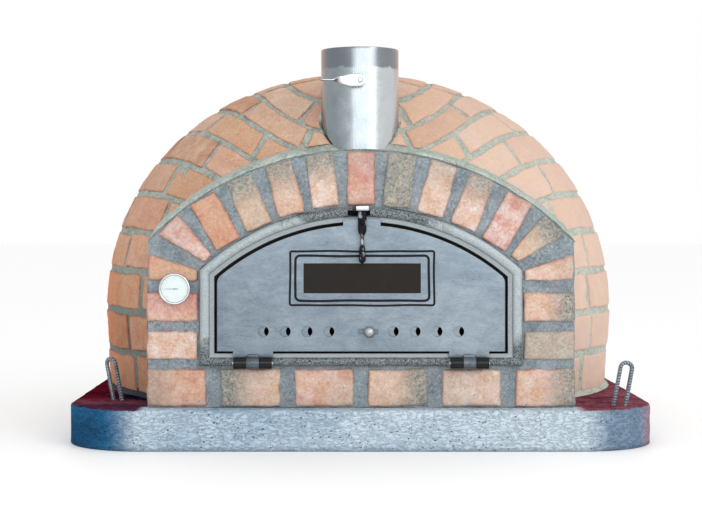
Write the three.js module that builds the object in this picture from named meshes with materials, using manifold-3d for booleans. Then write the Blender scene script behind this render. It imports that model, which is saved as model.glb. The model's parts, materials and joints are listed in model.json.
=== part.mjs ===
// Wood fired pizza oven on a concrete slab: brick dome, brick arch, cast iron door and steel flue.
// Millimetres, +Z up, the door faces -Y, origin under the middle of the slab.
// Inside the oven group heights are counted from the top of the slab.

import * as THREE from 'three';
import { mergeVertices } from 'three/addons/utils/BufferGeometryUtils.js';
import Module from 'manifold-3d';

const wasm = await Module();
wasm.setup();

// ---------------------------------------------------------------- driving dimensions

const GAP = 0.3;
const FAR = 900;

const SLAB = { side: 1100, thickness: 75, cornerRadius: 150 };
const LOOP = { rod: 4, height: 85, legSpacing: 22, depth: 35, lean: 10.5 };
const LOOP_SPOTS = [{ side: 'left', x: -465, y: 378, turn: 54 }, { side: 'right', x: 482, y: 470, turn: 86 }];

const DOME = { radius: 535, footRadius: 525, footHeight: 150, rise: 507, power: 2.1, wall: 54 };
const COURSES = { count: 8, pitch: 85, segments: 40 };

const ARCH = { centre: -67, innerRadius: 437, outerRadius: 542, halfWidth: 394, front: -510, back: -330 };
const MORTAR_SETBACK = 4;
const BRICK = { length: 100, width: 52, cornerDepth: 140, sillDepth: 100 };
const SILL = { bricks: 6, bottom: 2, top: 71.6, joint: 26 };
const JAMB = { inner: 299, lower: [88, 141], upper: [158, 212] };
const VOUSSOIR = { step: 8.3, lean: 0.9, pairs: 4 };
const SPRINGER = [[273, 280], [288, 268], [377, 319], [336, 356]];
const WEDGE = [[300, 233], [392, 234], [392, 283], [299, 254]];

const OPENING = { halfWidth: 297, bottom: 77, radius: 437 };
const FRAME = { front: -518, rimFront: -514, back: -490, band: 19, rim: 28, bar: 24 };
const LEAF = { front: -520, back: -508, halfWidth: 265.5, bottom: 103, radius: 405 };
const LEAF_TAB = { centre: 1.5, halfWidth: 34.5, bottom: 325, top: 347.5, back: -514.6 };
const HINGE = { y: -530, height: 84, radius: 11, bore: 4.4, pin: 4, x: 198 };
const KNUCKLE = { middle: 23.4, outer: 23, gap: 0.6 };
const APRON = { halfWidth: 37, bottom: 94 };
const WINDOW = { x: 2, width: 215, bottom: 211, top: 266, glassLap: 8, frameLap: 18, frameHole: 4 };
const VENTS = { radius: 10, height: 141, x: [59, 99, 139, 179], offset: 11, travel: 11 };
const SLIDER = { front: -507.6, back: -504.6, halfWidth: 206, halfHeight: 17 };
const KNOB = { x: 15, radius: 10.5, stem: 3.5, slotX: 13, slotLength: 36, slotHeight: 9 };
const LATCH = { x: 2, height: 340, front: -529, back: -524, nose: 20.4, bore: 4.4, halfWidth: 6.5 };
const CATCH = { left: -16, right: 14, bottom: 361, top: 371, front: -531 };

const THERMOMETER = { x: -342, height: 219, radius: 29, depth: 12, stem: 4, stemEnd: -150 };

const HEARTH = { bottom: 68.3, top: 98, radius: 404 };
const INNER_DOME = { y: 50, radius: 400, wall: 40, segments: 24 };
const VAULT = { halfWidth: 294, radius: 434, wall: 28, front: -489.5 };

const FLUE = { y: -350, radius: 75, wall: 2, bottom: 368.5, top: 674, segments: 32 };
const DAMPER = { height: 609, spindle: 4, plate: 64, thickness: 2, front: -446, back: -268 };
const HANDLE = { tip: -76, y: -441, height: 25, thickness: 3 };

// ---------------------------------------------------------------- solids

// Keeps the positions only, merges them, drops collapsed triangles and turns the faces outward.
function weld(geometry) {
  const bare = geometry.clone();
  bare.deleteAttribute('normal');
  bare.deleteAttribute('uv');
  const merged = mergeVertices(bare, 1e-3);
  const index = merged.index.array;
  const points = merged.attributes.position.array;
  const kept = [];
  let volume = 0;
  const corner = (i) => new THREE.Vector3().fromArray(points, 3 * i);
  for (let i = 0; i < index.length; i += 3) {
    const [a, b, c] = [index[i], index[i + 1], index[i + 2]];
    if (a === b || b === c || c === a) continue;
    kept.push([a, b, c]);
    volume += corner(a).dot(corner(b).cross(corner(c)));
  }
  const facing = volume < 0 ? kept.map(([a, b, c]) => [a, c, b]) : kept;
  merged.setIndex(facing.flat());
  return merged;
}

function solid(geometry) {
  const welded = weld(geometry);
  const vertProperties = new Float32Array(welded.attributes.position.array);
  const triVerts = new Uint32Array(welded.index.array);
  return new wasm.Manifold(new wasm.Mesh({ numProp: 3, vertProperties, triVerts }));
}

function geometryOf(manifold) {
  const mesh = manifold.getMesh();
  const geometry = new THREE.BufferGeometry();
  geometry.setAttribute('position', new THREE.BufferAttribute(mesh.vertProperties, 3));
  geometry.setIndex(new THREE.BufferAttribute(mesh.triVerts, 1));
  geometry.computeVertexNormals();
  return geometry;
}

const without = (body, ...tools) => tools.reduce((rest, tool) => rest.subtract(tool), body);
const joined = (body, ...others) => others.reduce((sum, other) => sum.add(other), body);

function box(x0, x1, y0, y1, z0, z1) {
  const geometry = new THREE.BoxGeometry(x1 - x0, y1 - y0, z1 - z0);
  return geometry.translate((x0 + x1) / 2, (y0 + y1) / 2, (z0 + z1) / 2);
}

// An outline in X and height, carried from the front plane to the back plane.
function prism(shape, front, back, curveSegments = 12) {
  const options = { depth: back - front, bevelEnabled: false, curveSegments };
  return new THREE.ExtrudeGeometry(shape, options).rotateX(Math.PI / 2).translate(0, back, 0);
}

function outline(points) {
  return new THREE.Shape(points.map(([x, z]) => new THREE.Vector2(x, z)));
}

function rectangle(x0, x1, z0, z1) {
  return outline([[x0, z0], [x1, z0], [x1, z1], [x0, z1]]);
}

// Straight sides under a round head whose centre is the arch centre.
function archOutline(halfWidth, bottom, radius) {
  const spring = Math.acos(halfWidth / radius);
  const shape = new THREE.Shape();
  shape.moveTo(-halfWidth, bottom);
  shape.lineTo(halfWidth, bottom);
  shape.absarc(0, ARCH.centre, radius, spring, Math.PI - spring, false);
  shape.closePath();
  return shape;
}

// A profile of [radius, height] turned about the vertical axis.
function turned(profile, segments, closed = true) {
  const points = profile.map(([r, z]) => new THREE.Vector2(r, z));
  if (closed) points.push(points[0].clone());
  return new THREE.LatheGeometry(points, segments).rotateX(Math.PI / 2);
}

function uprightCylinder(radius, z0, z1, x, y, segments = 24) {
  const geometry = new THREE.CylinderGeometry(radius, radius, z1 - z0, segments);
  return geometry.rotateX(Math.PI / 2).translate(x, y, (z0 + z1) / 2);
}

function crossCylinder(radius, x0, x1, y, z, segments = 16) {
  const geometry = new THREE.CylinderGeometry(radius, radius, x1 - x0, segments);
  return geometry.rotateZ(Math.PI / 2).translate((x0 + x1) / 2, y, z);
}

function throughCylinder(radius, y0, y1, x, z, segments = 16) {
  const geometry = new THREE.CylinderGeometry(radius, radius, y1 - y0, segments);
  return geometry.translate(x, (y0 + y1) / 2, z);
}

// A closed skin through cross-sections that all have the same number of points.
function lofted(sections) {
  const count = sections[0].length;
  const positions = sections.flat(2);
  const index = [];
  for (let s = 0; s < sections.length - 1; s += 1) {
    for (let i = 0; i < count; i += 1) {
      const a = s * count + i;
      const b = s * count + (i + 1) % count;
      index.push(a, b, b + count, a, b + count, a + count);
    }
  }
  const last = (sections.length - 1) * count;
  for (let i = 1; i < count - 1; i += 1) {
    index.push(0, i + 1, i);
    index.push(last, last + i, last + i + 1);
  }
  const geometry = new THREE.BufferGeometry();
  geometry.setAttribute('position', new THREE.Float32BufferAttribute(positions, 3));
  geometry.setIndex(index);
  return geometry;
}

// ---------------------------------------------------------------- dome profile

const PROFILE = domeProfile();

// Outside of the dome from the foot to the crown as points with their length along the curve.
function domeProfile() {
  const steps = 240;
  const points = [{ r: DOME.footRadius, h: 0, s: 0 }];
  for (let i = 0; i <= steps; i += 1) {
    const angle = (i / steps) * Math.PI / 2;
    const r = DOME.radius * Math.max(Math.cos(angle), 0) ** (2 / DOME.power);
    const h = DOME.footHeight + DOME.rise * Math.sin(angle) ** (2 / DOME.power);
    const before = points[points.length - 1];
    points.push({ r, h, s: before.s + Math.hypot(r - before.r, h - before.h) });
  }
  return points;
}

const DOME_LENGTH = PROFILE[PROFILE.length - 1].s;
const CAP_RINGS = 5;

// The point at a length along the profile, moved inward by a depth.
function domePoint(length, depth) {
  const end = Math.max(PROFILE.findIndex((point) => point.s >= length - 1e-6), 1);
  const a = PROFILE[end - 1];
  const b = PROFILE[end];
  const t = (length - a.s) / (b.s - a.s);
  const span = b.s - a.s;
  const [outR, outH] = length >= DOME_LENGTH ? [0, 1] : [(b.h - a.h) / span, (a.r - b.r) / span];
  const r = a.r + t * (b.r - a.r) - depth * outR;
  return [Math.max(r, 0), a.h + t * (b.h - a.h) - depth * outH];
}

function domeRadiusAt(height) {
  if (height < DOME.footHeight) return DOME.radius;
  const up = ((height - DOME.footHeight) / DOME.rise) ** DOME.power;
  return DOME.radius * (1 - up) ** (1 / DOME.power);
}

function lengths(from, to, steps) {
  return Array.from({ length: steps + 1 }, (_, i) => from + (to - from) * i / steps);
}

// ---------------------------------------------------------------- cutting tools shared by pieces

const portalOutline = archOutline(ARCH.halfWidth + GAP, -50, ARCH.outerRadius + GAP);
const portalTool = solid(prism(portalOutline, -FAR, ARCH.back + GAP));
const flueTool = solid(uprightCylinder(FLUE.radius + GAP, FLUE.bottom - 30, FAR, 0, FLUE.y, FLUE.segments));
const vaultTool = solid(prism(archOutline(VAULT.halfWidth + GAP, 0, VAULT.radius + GAP), -FAR, INNER_DOME.y));
const stemHole = throughCylinder(THERMOMETER.stem + GAP, -FAR, 0, THERMOMETER.x, THERMOMETER.height, 12);
const stemTool = solid(stemHole);

// ---------------------------------------------------------------- base

function baseSlab() {
  const half = SLAB.side / 2;
  const r = SLAB.cornerRadius;
  const shape = new THREE.Shape();
  shape.absarc(half - r, half - r, r, 0, Math.PI / 2, false);
  shape.absarc(r - half, half - r, r, Math.PI / 2, Math.PI, false);
  shape.absarc(r - half, r - half, r, Math.PI, 1.5 * Math.PI, false);
  shape.absarc(half - r, r - half, r, 1.5 * Math.PI, 2 * Math.PI, false);
  const options = { depth: SLAB.thickness, bevelEnabled: false, curveSegments: 8 };
  const plate = solid(new THREE.ExtrudeGeometry(shape, options).translate(0, 0, -SLAB.thickness));
  const pockets = loopPlaces().flatMap((place) => loopLegs(LOOP.rod + GAP, LOOP.depth + 1)
    .map((leg) => solid(leg.applyMatrix4(loopMatrix(place)))));
  return geometryOf(without(plate, ...pockets));
}

function loopPlaces() {
  const ends = [['front', -1], ['rear', 1]];
  return ends.flatMap(([end, sy]) => LOOP_SPOTS
    .map(({ side, x, y, turn }) => ({ name: `${end}_${side}`, x, y: sy * y, turn })));
}

// Each loop leans outward and its flat is turned towards the nearest corner.
function loopMatrix({ x, y, turn }) {
  const lean = THREE.MathUtils.degToRad(LOOP.lean) * Math.sign(x);
  const twist = THREE.MathUtils.degToRad(turn) * Math.sign(x) * Math.sign(y);
  const tilt = new THREE.Matrix4().makeRotationY(lean);
  const spin = new THREE.Matrix4().makeRotationZ(twist);
  return new THREE.Matrix4().makeTranslation(x, y, 0).multiply(tilt).multiply(spin);
}

function loopLegs(radius, depth) {
  const reach = 20;
  return [-1, 1].map((side) => uprightCylinder(radius, -depth, reach, 0, side * LOOP.legSpacing / 2, 8));
}

function liftingLoop(place) {
  const half = LOOP.legSpacing / 2;
  const springing = LOOP.height - half - LOOP.rod;
  const bend = lengths(0, Math.PI, 8)
    .map((a) => new THREE.Vector3(0, -half * Math.cos(a), springing + half * Math.sin(a)));
  const start = new THREE.Vector3(0, -half, -LOOP.depth);
  const end = new THREE.Vector3(0, half, -LOOP.depth);
  const path = new THREE.CurvePath();
  const points = [start, ...bend, end];
  for (let i = 1; i < points.length; i += 1) path.add(new THREE.LineCurve3(points[i - 1], points[i]));
  const section = new THREE.Shape(lengths(0, 5 * Math.PI / 3, 5)
    .map((a) => new THREE.Vector2(LOOP.rod * Math.cos(a), LOOP.rod * Math.sin(a))));
  const rod = new THREE.ExtrudeGeometry(section, { steps: 18, extrudePath: path, bevelEnabled: false });
  return weld(rod.applyMatrix4(loopMatrix(place)));
}

// ---------------------------------------------------------------- hearth and inner shell

function floorInsulation() {
  const [radius] = domePoint(0, DOME.wall + 2 * GAP);
  const disc = solid(uprightCylinder(radius - GAP, GAP, HEARTH.bottom - GAP, 0, 0, COURSES.segments));
  return geometryOf(without(disc, portalTool));
}

function hearthSlab() {
  const { radius, bottom, top } = HEARTH;
  const disc = solid(uprightCylinder(radius, bottom, top, 0, INNER_DOME.y, COURSES.segments));
  const front = ARCH.back + 2 * GAP;
  const tongue = solid(box(-VAULT.halfWidth, VAULT.halfWidth, front, INNER_DOME.y, bottom, top));
  return geometryOf(without(joined(disc, tongue), portalTool));
}

function entryTile() {
  const side = VAULT.halfWidth;
  return box(-side, side, VAULT.front, ARCH.back, OPENING.bottom + GAP, HEARTH.top);
}

// Superellipse shell profile from its foot on the hearth up to the crown.
function shellProfile(radius, grow) {
  const steps = 7;
  return lengths(0, Math.PI / 2, steps).map((angle, i) => [
    i === steps ? 0 : (radius + grow) * Math.cos(angle) ** (2 / DOME.power),
    HEARTH.top + GAP + (radius + grow) * Math.sin(angle) ** (2 / DOME.power),
  ]);
}

function shellSolid(radius, grow, foot) {
  const profile = [[0, foot], [radius + grow, foot], ...shellProfile(radius, grow)];
  return solid(turned(profile, INNER_DOME.segments, false).translate(0, INNER_DOME.y, 0));
}

function innerDome() {
  const outside = shellProfile(INNER_DOME.radius, 0);
  const inside = shellProfile(INNER_DOME.radius - INNER_DOME.wall, 0).reverse();
  const shell = solid(turned([...inside, ...outside].reverse(), INNER_DOME.segments, false)
    .translate(0, INNER_DOME.y, 0));
  const inner = archOutline(VAULT.halfWidth - VAULT.wall, 0, VAULT.radius - VAULT.wall);
  const mouth = solid(prism(inner, -FAR, INNER_DOME.y));
  return geometryOf(without(shell, mouth, stemTool));
}

function entryVault() {
  const foot = HEARTH.top + GAP;
  const outer = solid(prism(archOutline(VAULT.halfWidth, foot, VAULT.radius), VAULT.front, -180));
  const inner = archOutline(VAULT.halfWidth - VAULT.wall, 0, VAULT.radius - VAULT.wall);
  const flueHole = uprightCylinder(FLUE.radius - 5, 250, FAR, 0, FLUE.y, FLUE.segments);
  const shell = shellSolid(INNER_DOME.radius, GAP, foot - 50);
  return geometryOf(without(outer, solid(prism(inner, -FAR, 0)), solid(flueHole), shell));
}

function domeInsulation() {
  const depth = DOME.wall + 3 * GAP;
  const lastJoint = COURSES.count * COURSES.pitch;
  const joints = lengths(COURSES.pitch, lastJoint, COURSES.count - 1);
  const crown = lengths(lastJoint, DOME_LENGTH, CAP_RINGS).slice(1);
  const curve = [HEARTH.bottom, ...joints, ...crown].map((length) => domePoint(length, depth));
  const profile = [[0, HEARTH.bottom], ...curve];
  const body = solid(turned(profile, COURSES.segments / 2, false));
  const front = solid(box(-FAR, FAR, -FAR, ARCH.back + 2 * GAP, -FAR, FAR));
  const foot = HEARTH.top + GAP;
  const shell = shellSolid(INNER_DOME.radius, 2 * GAP, foot);
  const hearthHole = solid(uprightCylinder(HEARTH.radius + GAP, 0, foot, 0, INNER_DOME.y, COURSES.segments));
  return geometryOf(without(body, front, shell, hearthHole, vaultTool, flueTool, stemTool));
}

// ---------------------------------------------------------------- brick dome

function domeCourse(index) {
  const from = index * COURSES.pitch + GAP;
  const to = (index + 1) * COURSES.pitch;
  const outside = lengths(from, to, 2).map((length) => domePoint(length, 0));
  const inside = lengths(to, from, 1).map((length) => domePoint(length, DOME.wall));
  const ring = solid(turned([...outside, ...inside], COURSES.segments));
  return geometryOf(without(ring, portalTool, flueTool, stemTool));
}

function domeCap() {
  const from = COURSES.count * COURSES.pitch + GAP;
  const outside = lengths(from, DOME_LENGTH, CAP_RINGS).map((length) => domePoint(length, 0));
  const inside = lengths(DOME_LENGTH, from, CAP_RINGS).map((length) => domePoint(length, DOME.wall));
  const cap = solid(turned([...inside, ...outside], COURSES.segments, false));
  return geometryOf(without(cap, flueTool));
}

// ---------------------------------------------------------------- brick portal

function brickBlock(points, depth, grow = 0) {
  return prism(outline(points), ARCH.front - grow, ARCH.front + depth + grow);
}

function sillBricks() {
  const { halfWidth } = ARCH;
  const width = (2 * halfWidth - SILL.joint * (SILL.bricks - 1)) / SILL.bricks;
  return lengths(-halfWidth, halfWidth - width, SILL.bricks - 1).map((x, i) => {
    const corner = i === 0 || i === SILL.bricks - 1;
    const points = [[x, SILL.bottom], [x + width, SILL.bottom], [x + width, SILL.top], [x, SILL.top]];
    return { name: `sill_brick_${i + 1}`, points, depth: corner ? BRICK.cornerDepth : BRICK.sillDepth };
  });
}

function mirrored(points, side) {
  return side > 0 ? points : points.map(([x, z]) => [-x, z]).reverse();
}

function jambBricks() {
  const rows = [['lower', JAMB.lower], ['upper', JAMB.upper]];
  return [['left', -1], ['right', 1]].flatMap(([sideName, side]) => rows.map(([row, [z0, z1]]) => {
    const points = [[JAMB.inner, z0], [ARCH.halfWidth, z0], [ARCH.halfWidth, z1], [JAMB.inner, z1]];
    const name = `jamb_brick_${sideName}_${row}`;
    return { name, points: mirrored(points, side), depth: BRICK.cornerDepth };
  }));
}

// A voussoir reaches back almost to the dome behind its outer edge.
function voussoirDepth(x, height) {
  const fillet = 12;
  const domeFront = -Math.sqrt(Math.max(domeRadiusAt(height) ** 2 - x ** 2, 0));
  return THREE.MathUtils.clamp(domeFront - fillet - ARCH.front, BRICK.width, BRICK.cornerDepth);
}

function archBricks() {
  const middle = (ARCH.innerRadius + ARCH.outerRadius) / 2;
  const bricks = [];
  for (let i = -VOUSSOIR.pairs; i <= VOUSSOIR.pairs; i += 1) {
    const place = THREE.MathUtils.degToRad(i * VOUSSOIR.step);
    const centre = new THREE.Vector2(middle * Math.sin(place), ARCH.centre + middle * Math.cos(place));
    const lean = -place * VOUSSOIR.lean;
    const corners = [[-1, -1], [1, -1], [1, 1], [-1, 1]].map(([u, v]) => new THREE
      .Vector2(u * BRICK.width / 2, v * BRICK.length / 2).rotateAround(new THREE.Vector2(), lean)
      .add(centre).toArray());
    const outerX = ARCH.outerRadius * Math.sin(place);
    const outerHeight = ARCH.centre + ARCH.outerRadius * Math.cos(place);
    bricks.push({ points: corners, depth: voussoirDepth(outerX, outerHeight) });
  }
  const ends = [SPRINGER, WEDGE];
  for (const points of ends) {
    bricks.unshift({ points: mirrored(points, -1), depth: BRICK.cornerDepth });
    bricks.push({ points, depth: BRICK.cornerDepth });
  }
  return bricks.map((brick, i) => ({ name: `arch_brick_${i + 1}`, ...brick }));
}

function facadeMortar(bricks) {
  const front = ARCH.front + MORTAR_SETBACK;
  const side = ARCH.halfWidth - MORTAR_SETBACK;
  const outer = archOutline(side, GAP, ARCH.outerRadius - MORTAR_SETBACK);
  const body = solid(prism(outer, front, ARCH.back));
  const opening = archOutline(OPENING.halfWidth + GAP, OPENING.bottom - GAP, OPENING.radius + GAP);
  const pockets = bricks.map(({ points, depth }) => {
    const grown = growOutline(points, GAP);
    return solid(brickBlock(grown, depth, GAP));
  });
  return geometryOf(without(body, solid(prism(opening, -FAR, 0)), flueTool, stemTool, ...pockets));
}

// Moves every corner of a four-sided outline away from its middle by about the distance given.
function growOutline(points, distance) {
  const cx = points.reduce((sum, [x]) => sum + x, 0) / points.length;
  const cz = points.reduce((sum, [, z]) => sum + z, 0) / points.length;
  return points.map(([x, z], i) => {
    const [px, pz] = points[(i + points.length - 1) % points.length];
    const [nx, nz] = points[(i + 1) % points.length];
    const before = new THREE.Vector2(x - px, z - pz).normalize();
    const after = new THREE.Vector2(nx - x, nz - z).normalize();
    const out = new THREE.Vector2(before.x - after.x, before.y - after.y);
    const inward = out.dot(new THREE.Vector2(x - cx, z - cz)) < 0 ? -1 : 1;
    const spread = distance * inward * Math.SQRT2 / Math.max(out.length(), 0.2);
    return [x + out.x * spread, z + out.y * spread];
  });
}

// ---------------------------------------------------------------- door frame and door

function ringBetween(outer, inner, front, back) {
  return without(solid(prism(outer, front, back)), solid(prism(inner, front - 1, back + 1)));
}

function knuckle(x0, x1) {
  return solid(crossCylinder(HINGE.radius, x0, x1, HINGE.y, HINGE.height));
}

// The two outer knuckles of each hinge belong to the frame and the middle one to the door.
function hingeSpans(centre) {
  const half = KNUCKLE.middle / 2;
  const inner = half + KNUCKLE.gap;
  const outer = inner + KNUCKLE.outer;
  const sides = [[centre - outer, centre - inner], [centre + inner, centre + outer]];
  return { middle: [centre - half, centre + half], sides };
}

function doorFrame() {
  const { halfWidth, bottom, radius } = OPENING;
  const side = halfWidth - GAP;
  const crown = radius - GAP;
  const outer = archOutline(side, bottom, crown);
  const inner = archOutline(halfWidth - FRAME.rim, bottom + FRAME.bar, radius - FRAME.rim);
  const bandInner = archOutline(halfWidth - FRAME.band, bottom + FRAME.bar - 8, radius - FRAME.band);
  const body = ringBetween(outer, inner, FRAME.rimFront, FRAME.back);
  const band = ringBetween(outer, bandInner, FRAME.front, FRAME.rimFront + 2);
  const lugs = [-HINGE.x, HINGE.x].flatMap((x) => hingeSpans(x).sides).flatMap(([x0, x1]) => [
    knuckle(x0, x1),
    solid(box(x0, x1, HINGE.y, FRAME.rimFront + 2, OPENING.bottom + 1, HINGE.height + 7)),
  ]);
  const bore = solid(crossCylinder(HINGE.bore, -FAR, FAR, HINGE.y, HINGE.height));
  return geometryOf(without(joined(body, band, ...lugs), bore));
}

function hingePin(side) {
  const { sides } = hingeSpans(side * HINGE.x);
  const head = 2;
  return crossCylinder(HINGE.pin, sides[0][0] - head, sides[1][1] + head, HINGE.y, HINGE.height);
}

function doorLeaf() {
  const plate = solid(prism(archOutline(LEAF.halfWidth, LEAF.bottom, LEAF.radius), LEAF.front, LEAF.back));
  const tab = rectangle(LEAF_TAB.centre - LEAF_TAB.halfWidth, LEAF_TAB.centre + LEAF_TAB.halfWidth,
    LEAF_TAB.bottom, LEAF_TAB.top);
  const straps = [-HINGE.x, HINGE.x].flatMap((x) => {
    const [x0, x1] = hingeSpans(x).middle;
    const above = HINGE.height + 36;
    return [
      knuckle(x0, x1),
      solid(box(x0, x1, HINGE.y - 5, HINGE.y + 3, HINGE.height, above)),
      solid(box(x0, x1, HINGE.y - 5, LEAF.front + 2, HINGE.height + 22, above)),
      solid(box(x - APRON.halfWidth, x + APRON.halfWidth, LEAF.front, LEAF_TAB.back, APRON.bottom, above)),
    ];
  });
  const rails = [-1, 1].flatMap((side) => {
    const edge = VENTS.height + side * (SLIDER.halfHeight + GAP);
    const out = edge + side * 5;
    const lip = edge - side * 4;
    const width = SLIDER.halfWidth;
    return [
      solid(box(-width, width, LEAF.back - 1, SLIDER.back + 3, Math.min(edge, out), Math.max(edge, out))),
      solid(box(-width, width, SLIDER.back + GAP, SLIDER.back + 3, Math.min(lip, out), Math.max(lip, out))),
    ];
  });
  const pivotRadius = LATCH.bore - 0.4;
  const pivotFront = LATCH.front - 3;
  const pivot = solid(throughCylinder(pivotRadius, pivotFront, LEAF_TAB.back - 1, LATCH.x, LATCH.height));
  const half = WINDOW.width / 2;
  const pane = rectangle(WINDOW.x - half, WINDOW.x + half, WINDOW.bottom, WINDOW.top);
  const holes = ventPositions().map((x) => ventHole(x));
  const bore = solid(crossCylinder(HINGE.bore, -FAR, FAR, HINGE.y, HINGE.height));
  const body = joined(plate, solid(prism(tab, LEAF.front, LEAF_TAB.back)), ...straps, ...rails, pivot);
  return geometryOf(without(body, solid(prism(pane, -FAR, 0)), knobSlot(), bore, ...holes));
}

function ventPositions() {
  return [...VENTS.x.map((x) => -x), ...VENTS.x];
}

function ventHole(x) {
  return solid(throughCylinder(VENTS.radius, -FAR, 0, x, VENTS.height, 20));
}

function knobSlot() {
  const half = KNOB.slotLength / 2;
  const rise = KNOB.slotHeight / 2;
  const { slotX } = KNOB;
  const shape = rectangle(slotX - half, slotX + half, VENTS.height - rise, VENTS.height + rise);
  return solid(prism(shape, -FAR, 0));
}

function sightGlass() {
  const half = WINDOW.width / 2 + WINDOW.glassLap;
  const low = WINDOW.bottom - WINDOW.glassLap;
  const high = WINDOW.top + WINDOW.glassLap;
  return prism(rectangle(WINDOW.x - half, WINDOW.x + half, low, high), LEAF.back + GAP, LEAF.back + 4);
}

function glassRetainer() {
  const half = WINDOW.width / 2;
  const lap = WINDOW.frameLap;
  const hole = WINDOW.frameHole;
  const windowGrown = (by) => rectangle(
    WINDOW.x - half - by, WINDOW.x + half + by, WINDOW.bottom - by, WINDOW.top + by);
  const shape = windowGrown(lap);
  shape.holes.push(windowGrown(hole));
  return prism(shape, LEAF.back + 4 + GAP, LEAF.back + 7);
}

function airSlider() {
  const { halfWidth, halfHeight, front, back } = SLIDER;
  const x = VENTS.offset;
  const low = VENTS.height - halfHeight;
  const high = VENTS.height + halfHeight;
  const plate = solid(prism(rectangle(x - halfWidth, x + halfWidth, low, high), front, back));
  const holes = ventPositions().map((place) => ventHole(place + VENTS.offset));
  const stem = solid(throughCylinder(KNOB.stem + GAP, -FAR, 0, KNOB.x, VENTS.height, 12));
  return geometryOf(without(plate, stem, ...holes));
}

function sliderKnob() {
  const { radius, stem } = KNOB;
  const reach = 17;
  const neck = radius * 0.35;
  const ball = lengths(0, 2.8, 7).map((angle) => [radius * Math.sin(angle), radius * Math.cos(angle)]);
  ball[0][0] = 0;
  const base = ball[ball.length - 1];
  const tail = -radius - reach;
  const profile = [...ball, [neck, base[1] - 1], [stem, base[1] - 2], [stem, tail], [0, tail]];
  const knob = turned(profile, 16, false).rotateX(Math.PI / 2);
  return knob.translate(KNOB.x, SLIDER.back - radius - reach, VENTS.height);
}

// ---------------------------------------------------------------- latch

function twistedSection(centre, wide, thick, angle, axes) {
  const [u, v] = axes;
  const corners = [[-1, -1], [1, -1], [1, 1], [-1, 1]];
  return corners.map(([a, b]) => {
    const p = a * wide / 2;
    const q = b * thick / 2;
    const x = p * Math.cos(angle) - q * Math.sin(angle);
    const y = p * Math.sin(angle) + q * Math.cos(angle);
    return centre.map((value, i) => value + x * u[i] + y * v[i]);
  });
}

function latchLever() {
  const middle = (LATCH.front + LATCH.back) / 2;
  const thick = LATCH.back - LATCH.front;
  const halfTurn = Math.asin(LATCH.halfWidth / LATCH.nose);
  const nose = lengths(-halfTurn, halfTurn, 4).map((a) => [
    LATCH.x + LATCH.nose * Math.sin(a), LATCH.height + LATCH.nose * Math.cos(a)]);
  const foot = LATCH.height - 18;
  const head = outline([[LATCH.x - LATCH.halfWidth, foot], ...nose, [LATCH.x + LATCH.halfWidth, foot]]);
  const axes = [[1, 0, 0], [0, 1, 0]];
  // Height below the pivot, width, thickness, twist and distance out from the door.
  const stations = [[18, 13, 5, 0, 0], [26, 11, 5, 30, 2], [34, 9, 5, 62, 4], [42, 11, 6, 90, 7],
    [52, 17, 8, 90, 9], [61, 19, 9, 90, 10], [68, 15, 8, 90, 12], [74, 9, 6, 90, 16]];
  const bar = lofted(stations.map(([down, wide, thickness, twist, out]) => twistedSection(
    [LATCH.x, middle - out, LATCH.height - down], wide, thickness, THREE.MathUtils.degToRad(twist), axes)));
  const bore = solid(throughCylinder(LATCH.bore, -FAR, 0, LATCH.x, LATCH.height));
  const plate = solid(prism(head, middle - thick / 2, middle + thick / 2));
  return geometryOf(without(joined(plate, solid(bar)), bore));
}

function latchCatch() {
  const face = outline([[CATCH.left, CATCH.bottom], [CATCH.right, CATCH.bottom],
    [CATCH.right, CATCH.top], [CATCH.left, CATCH.top]]);
  return prism(face, CATCH.front, FRAME.front - GAP);
}

// ---------------------------------------------------------------- thermometer

function thermometerCase() {
  const { radius, depth, stem } = THERMOMETER;
  const rim = radius - 3;
  const back = GAP;
  const length = THERMOMETER.stemEnd - ARCH.front;
  const profile = [[0, -depth + 6], [rim, -depth + 6], [rim, -depth], [radius - 1, -depth],
    [radius, -depth + 1], [radius, -back], [stem, -back], [stem, length], [0, length]];
  const body = turned(profile.map(([r, y]) => [r, -y]), 32, false).rotateX(Math.PI / 2);
  return body.translate(THERMOMETER.x, ARCH.front, THERMOMETER.height);
}

function thermometerDial() {
  const back = ARCH.front - THERMOMETER.depth + 6 - GAP;
  return throughCylinder(THERMOMETER.radius - 3.5, back - 1, back, THERMOMETER.x, THERMOMETER.height, 32);
}

function thermometerNeedle() {
  const back = ARCH.front - THERMOMETER.depth + 6 - GAP - 1 - GAP;
  const { x, height } = THERMOMETER;
  const bar = outline([[x - 20, height], [x - 3, height - 1.4], [x + 9, height - 1.6], [x + 9, height + 1.6],
    [x - 3, height + 1.4]]);
  const hub = solid(throughCylinder(2.6, back - 2.4, back, x, height, 12));
  return geometryOf(joined(solid(prism(bar, back - 1.8, back - 0.8)), hub));
}

// ---------------------------------------------------------------- flue and damper

function fluePipe() {
  const { radius, wall, bottom, top, segments, y } = FLUE;
  const ring = [[radius - wall, bottom], [radius, bottom], [radius, top], [radius - wall, top]];
  const pipe = solid(turned(ring, segments).translate(0, y, 0));
  const bore = solid(throughCylinder(DAMPER.spindle + GAP, -FAR, 0, 0, DAMPER.height));
  return geometryOf(without(pipe, bore));
}

function damper() {
  const { spindle, plate, thickness, height, front, back } = DAMPER;
  const rod = solid(throughCylinder(spindle, front, back, 0, height));
  const low = height + spindle - 1;
  const disc = solid(uprightCylinder(plate, low, low + thickness, 0, FLUE.y, FLUE.segments));
  return geometryOf(joined(rod, disc));
}

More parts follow.
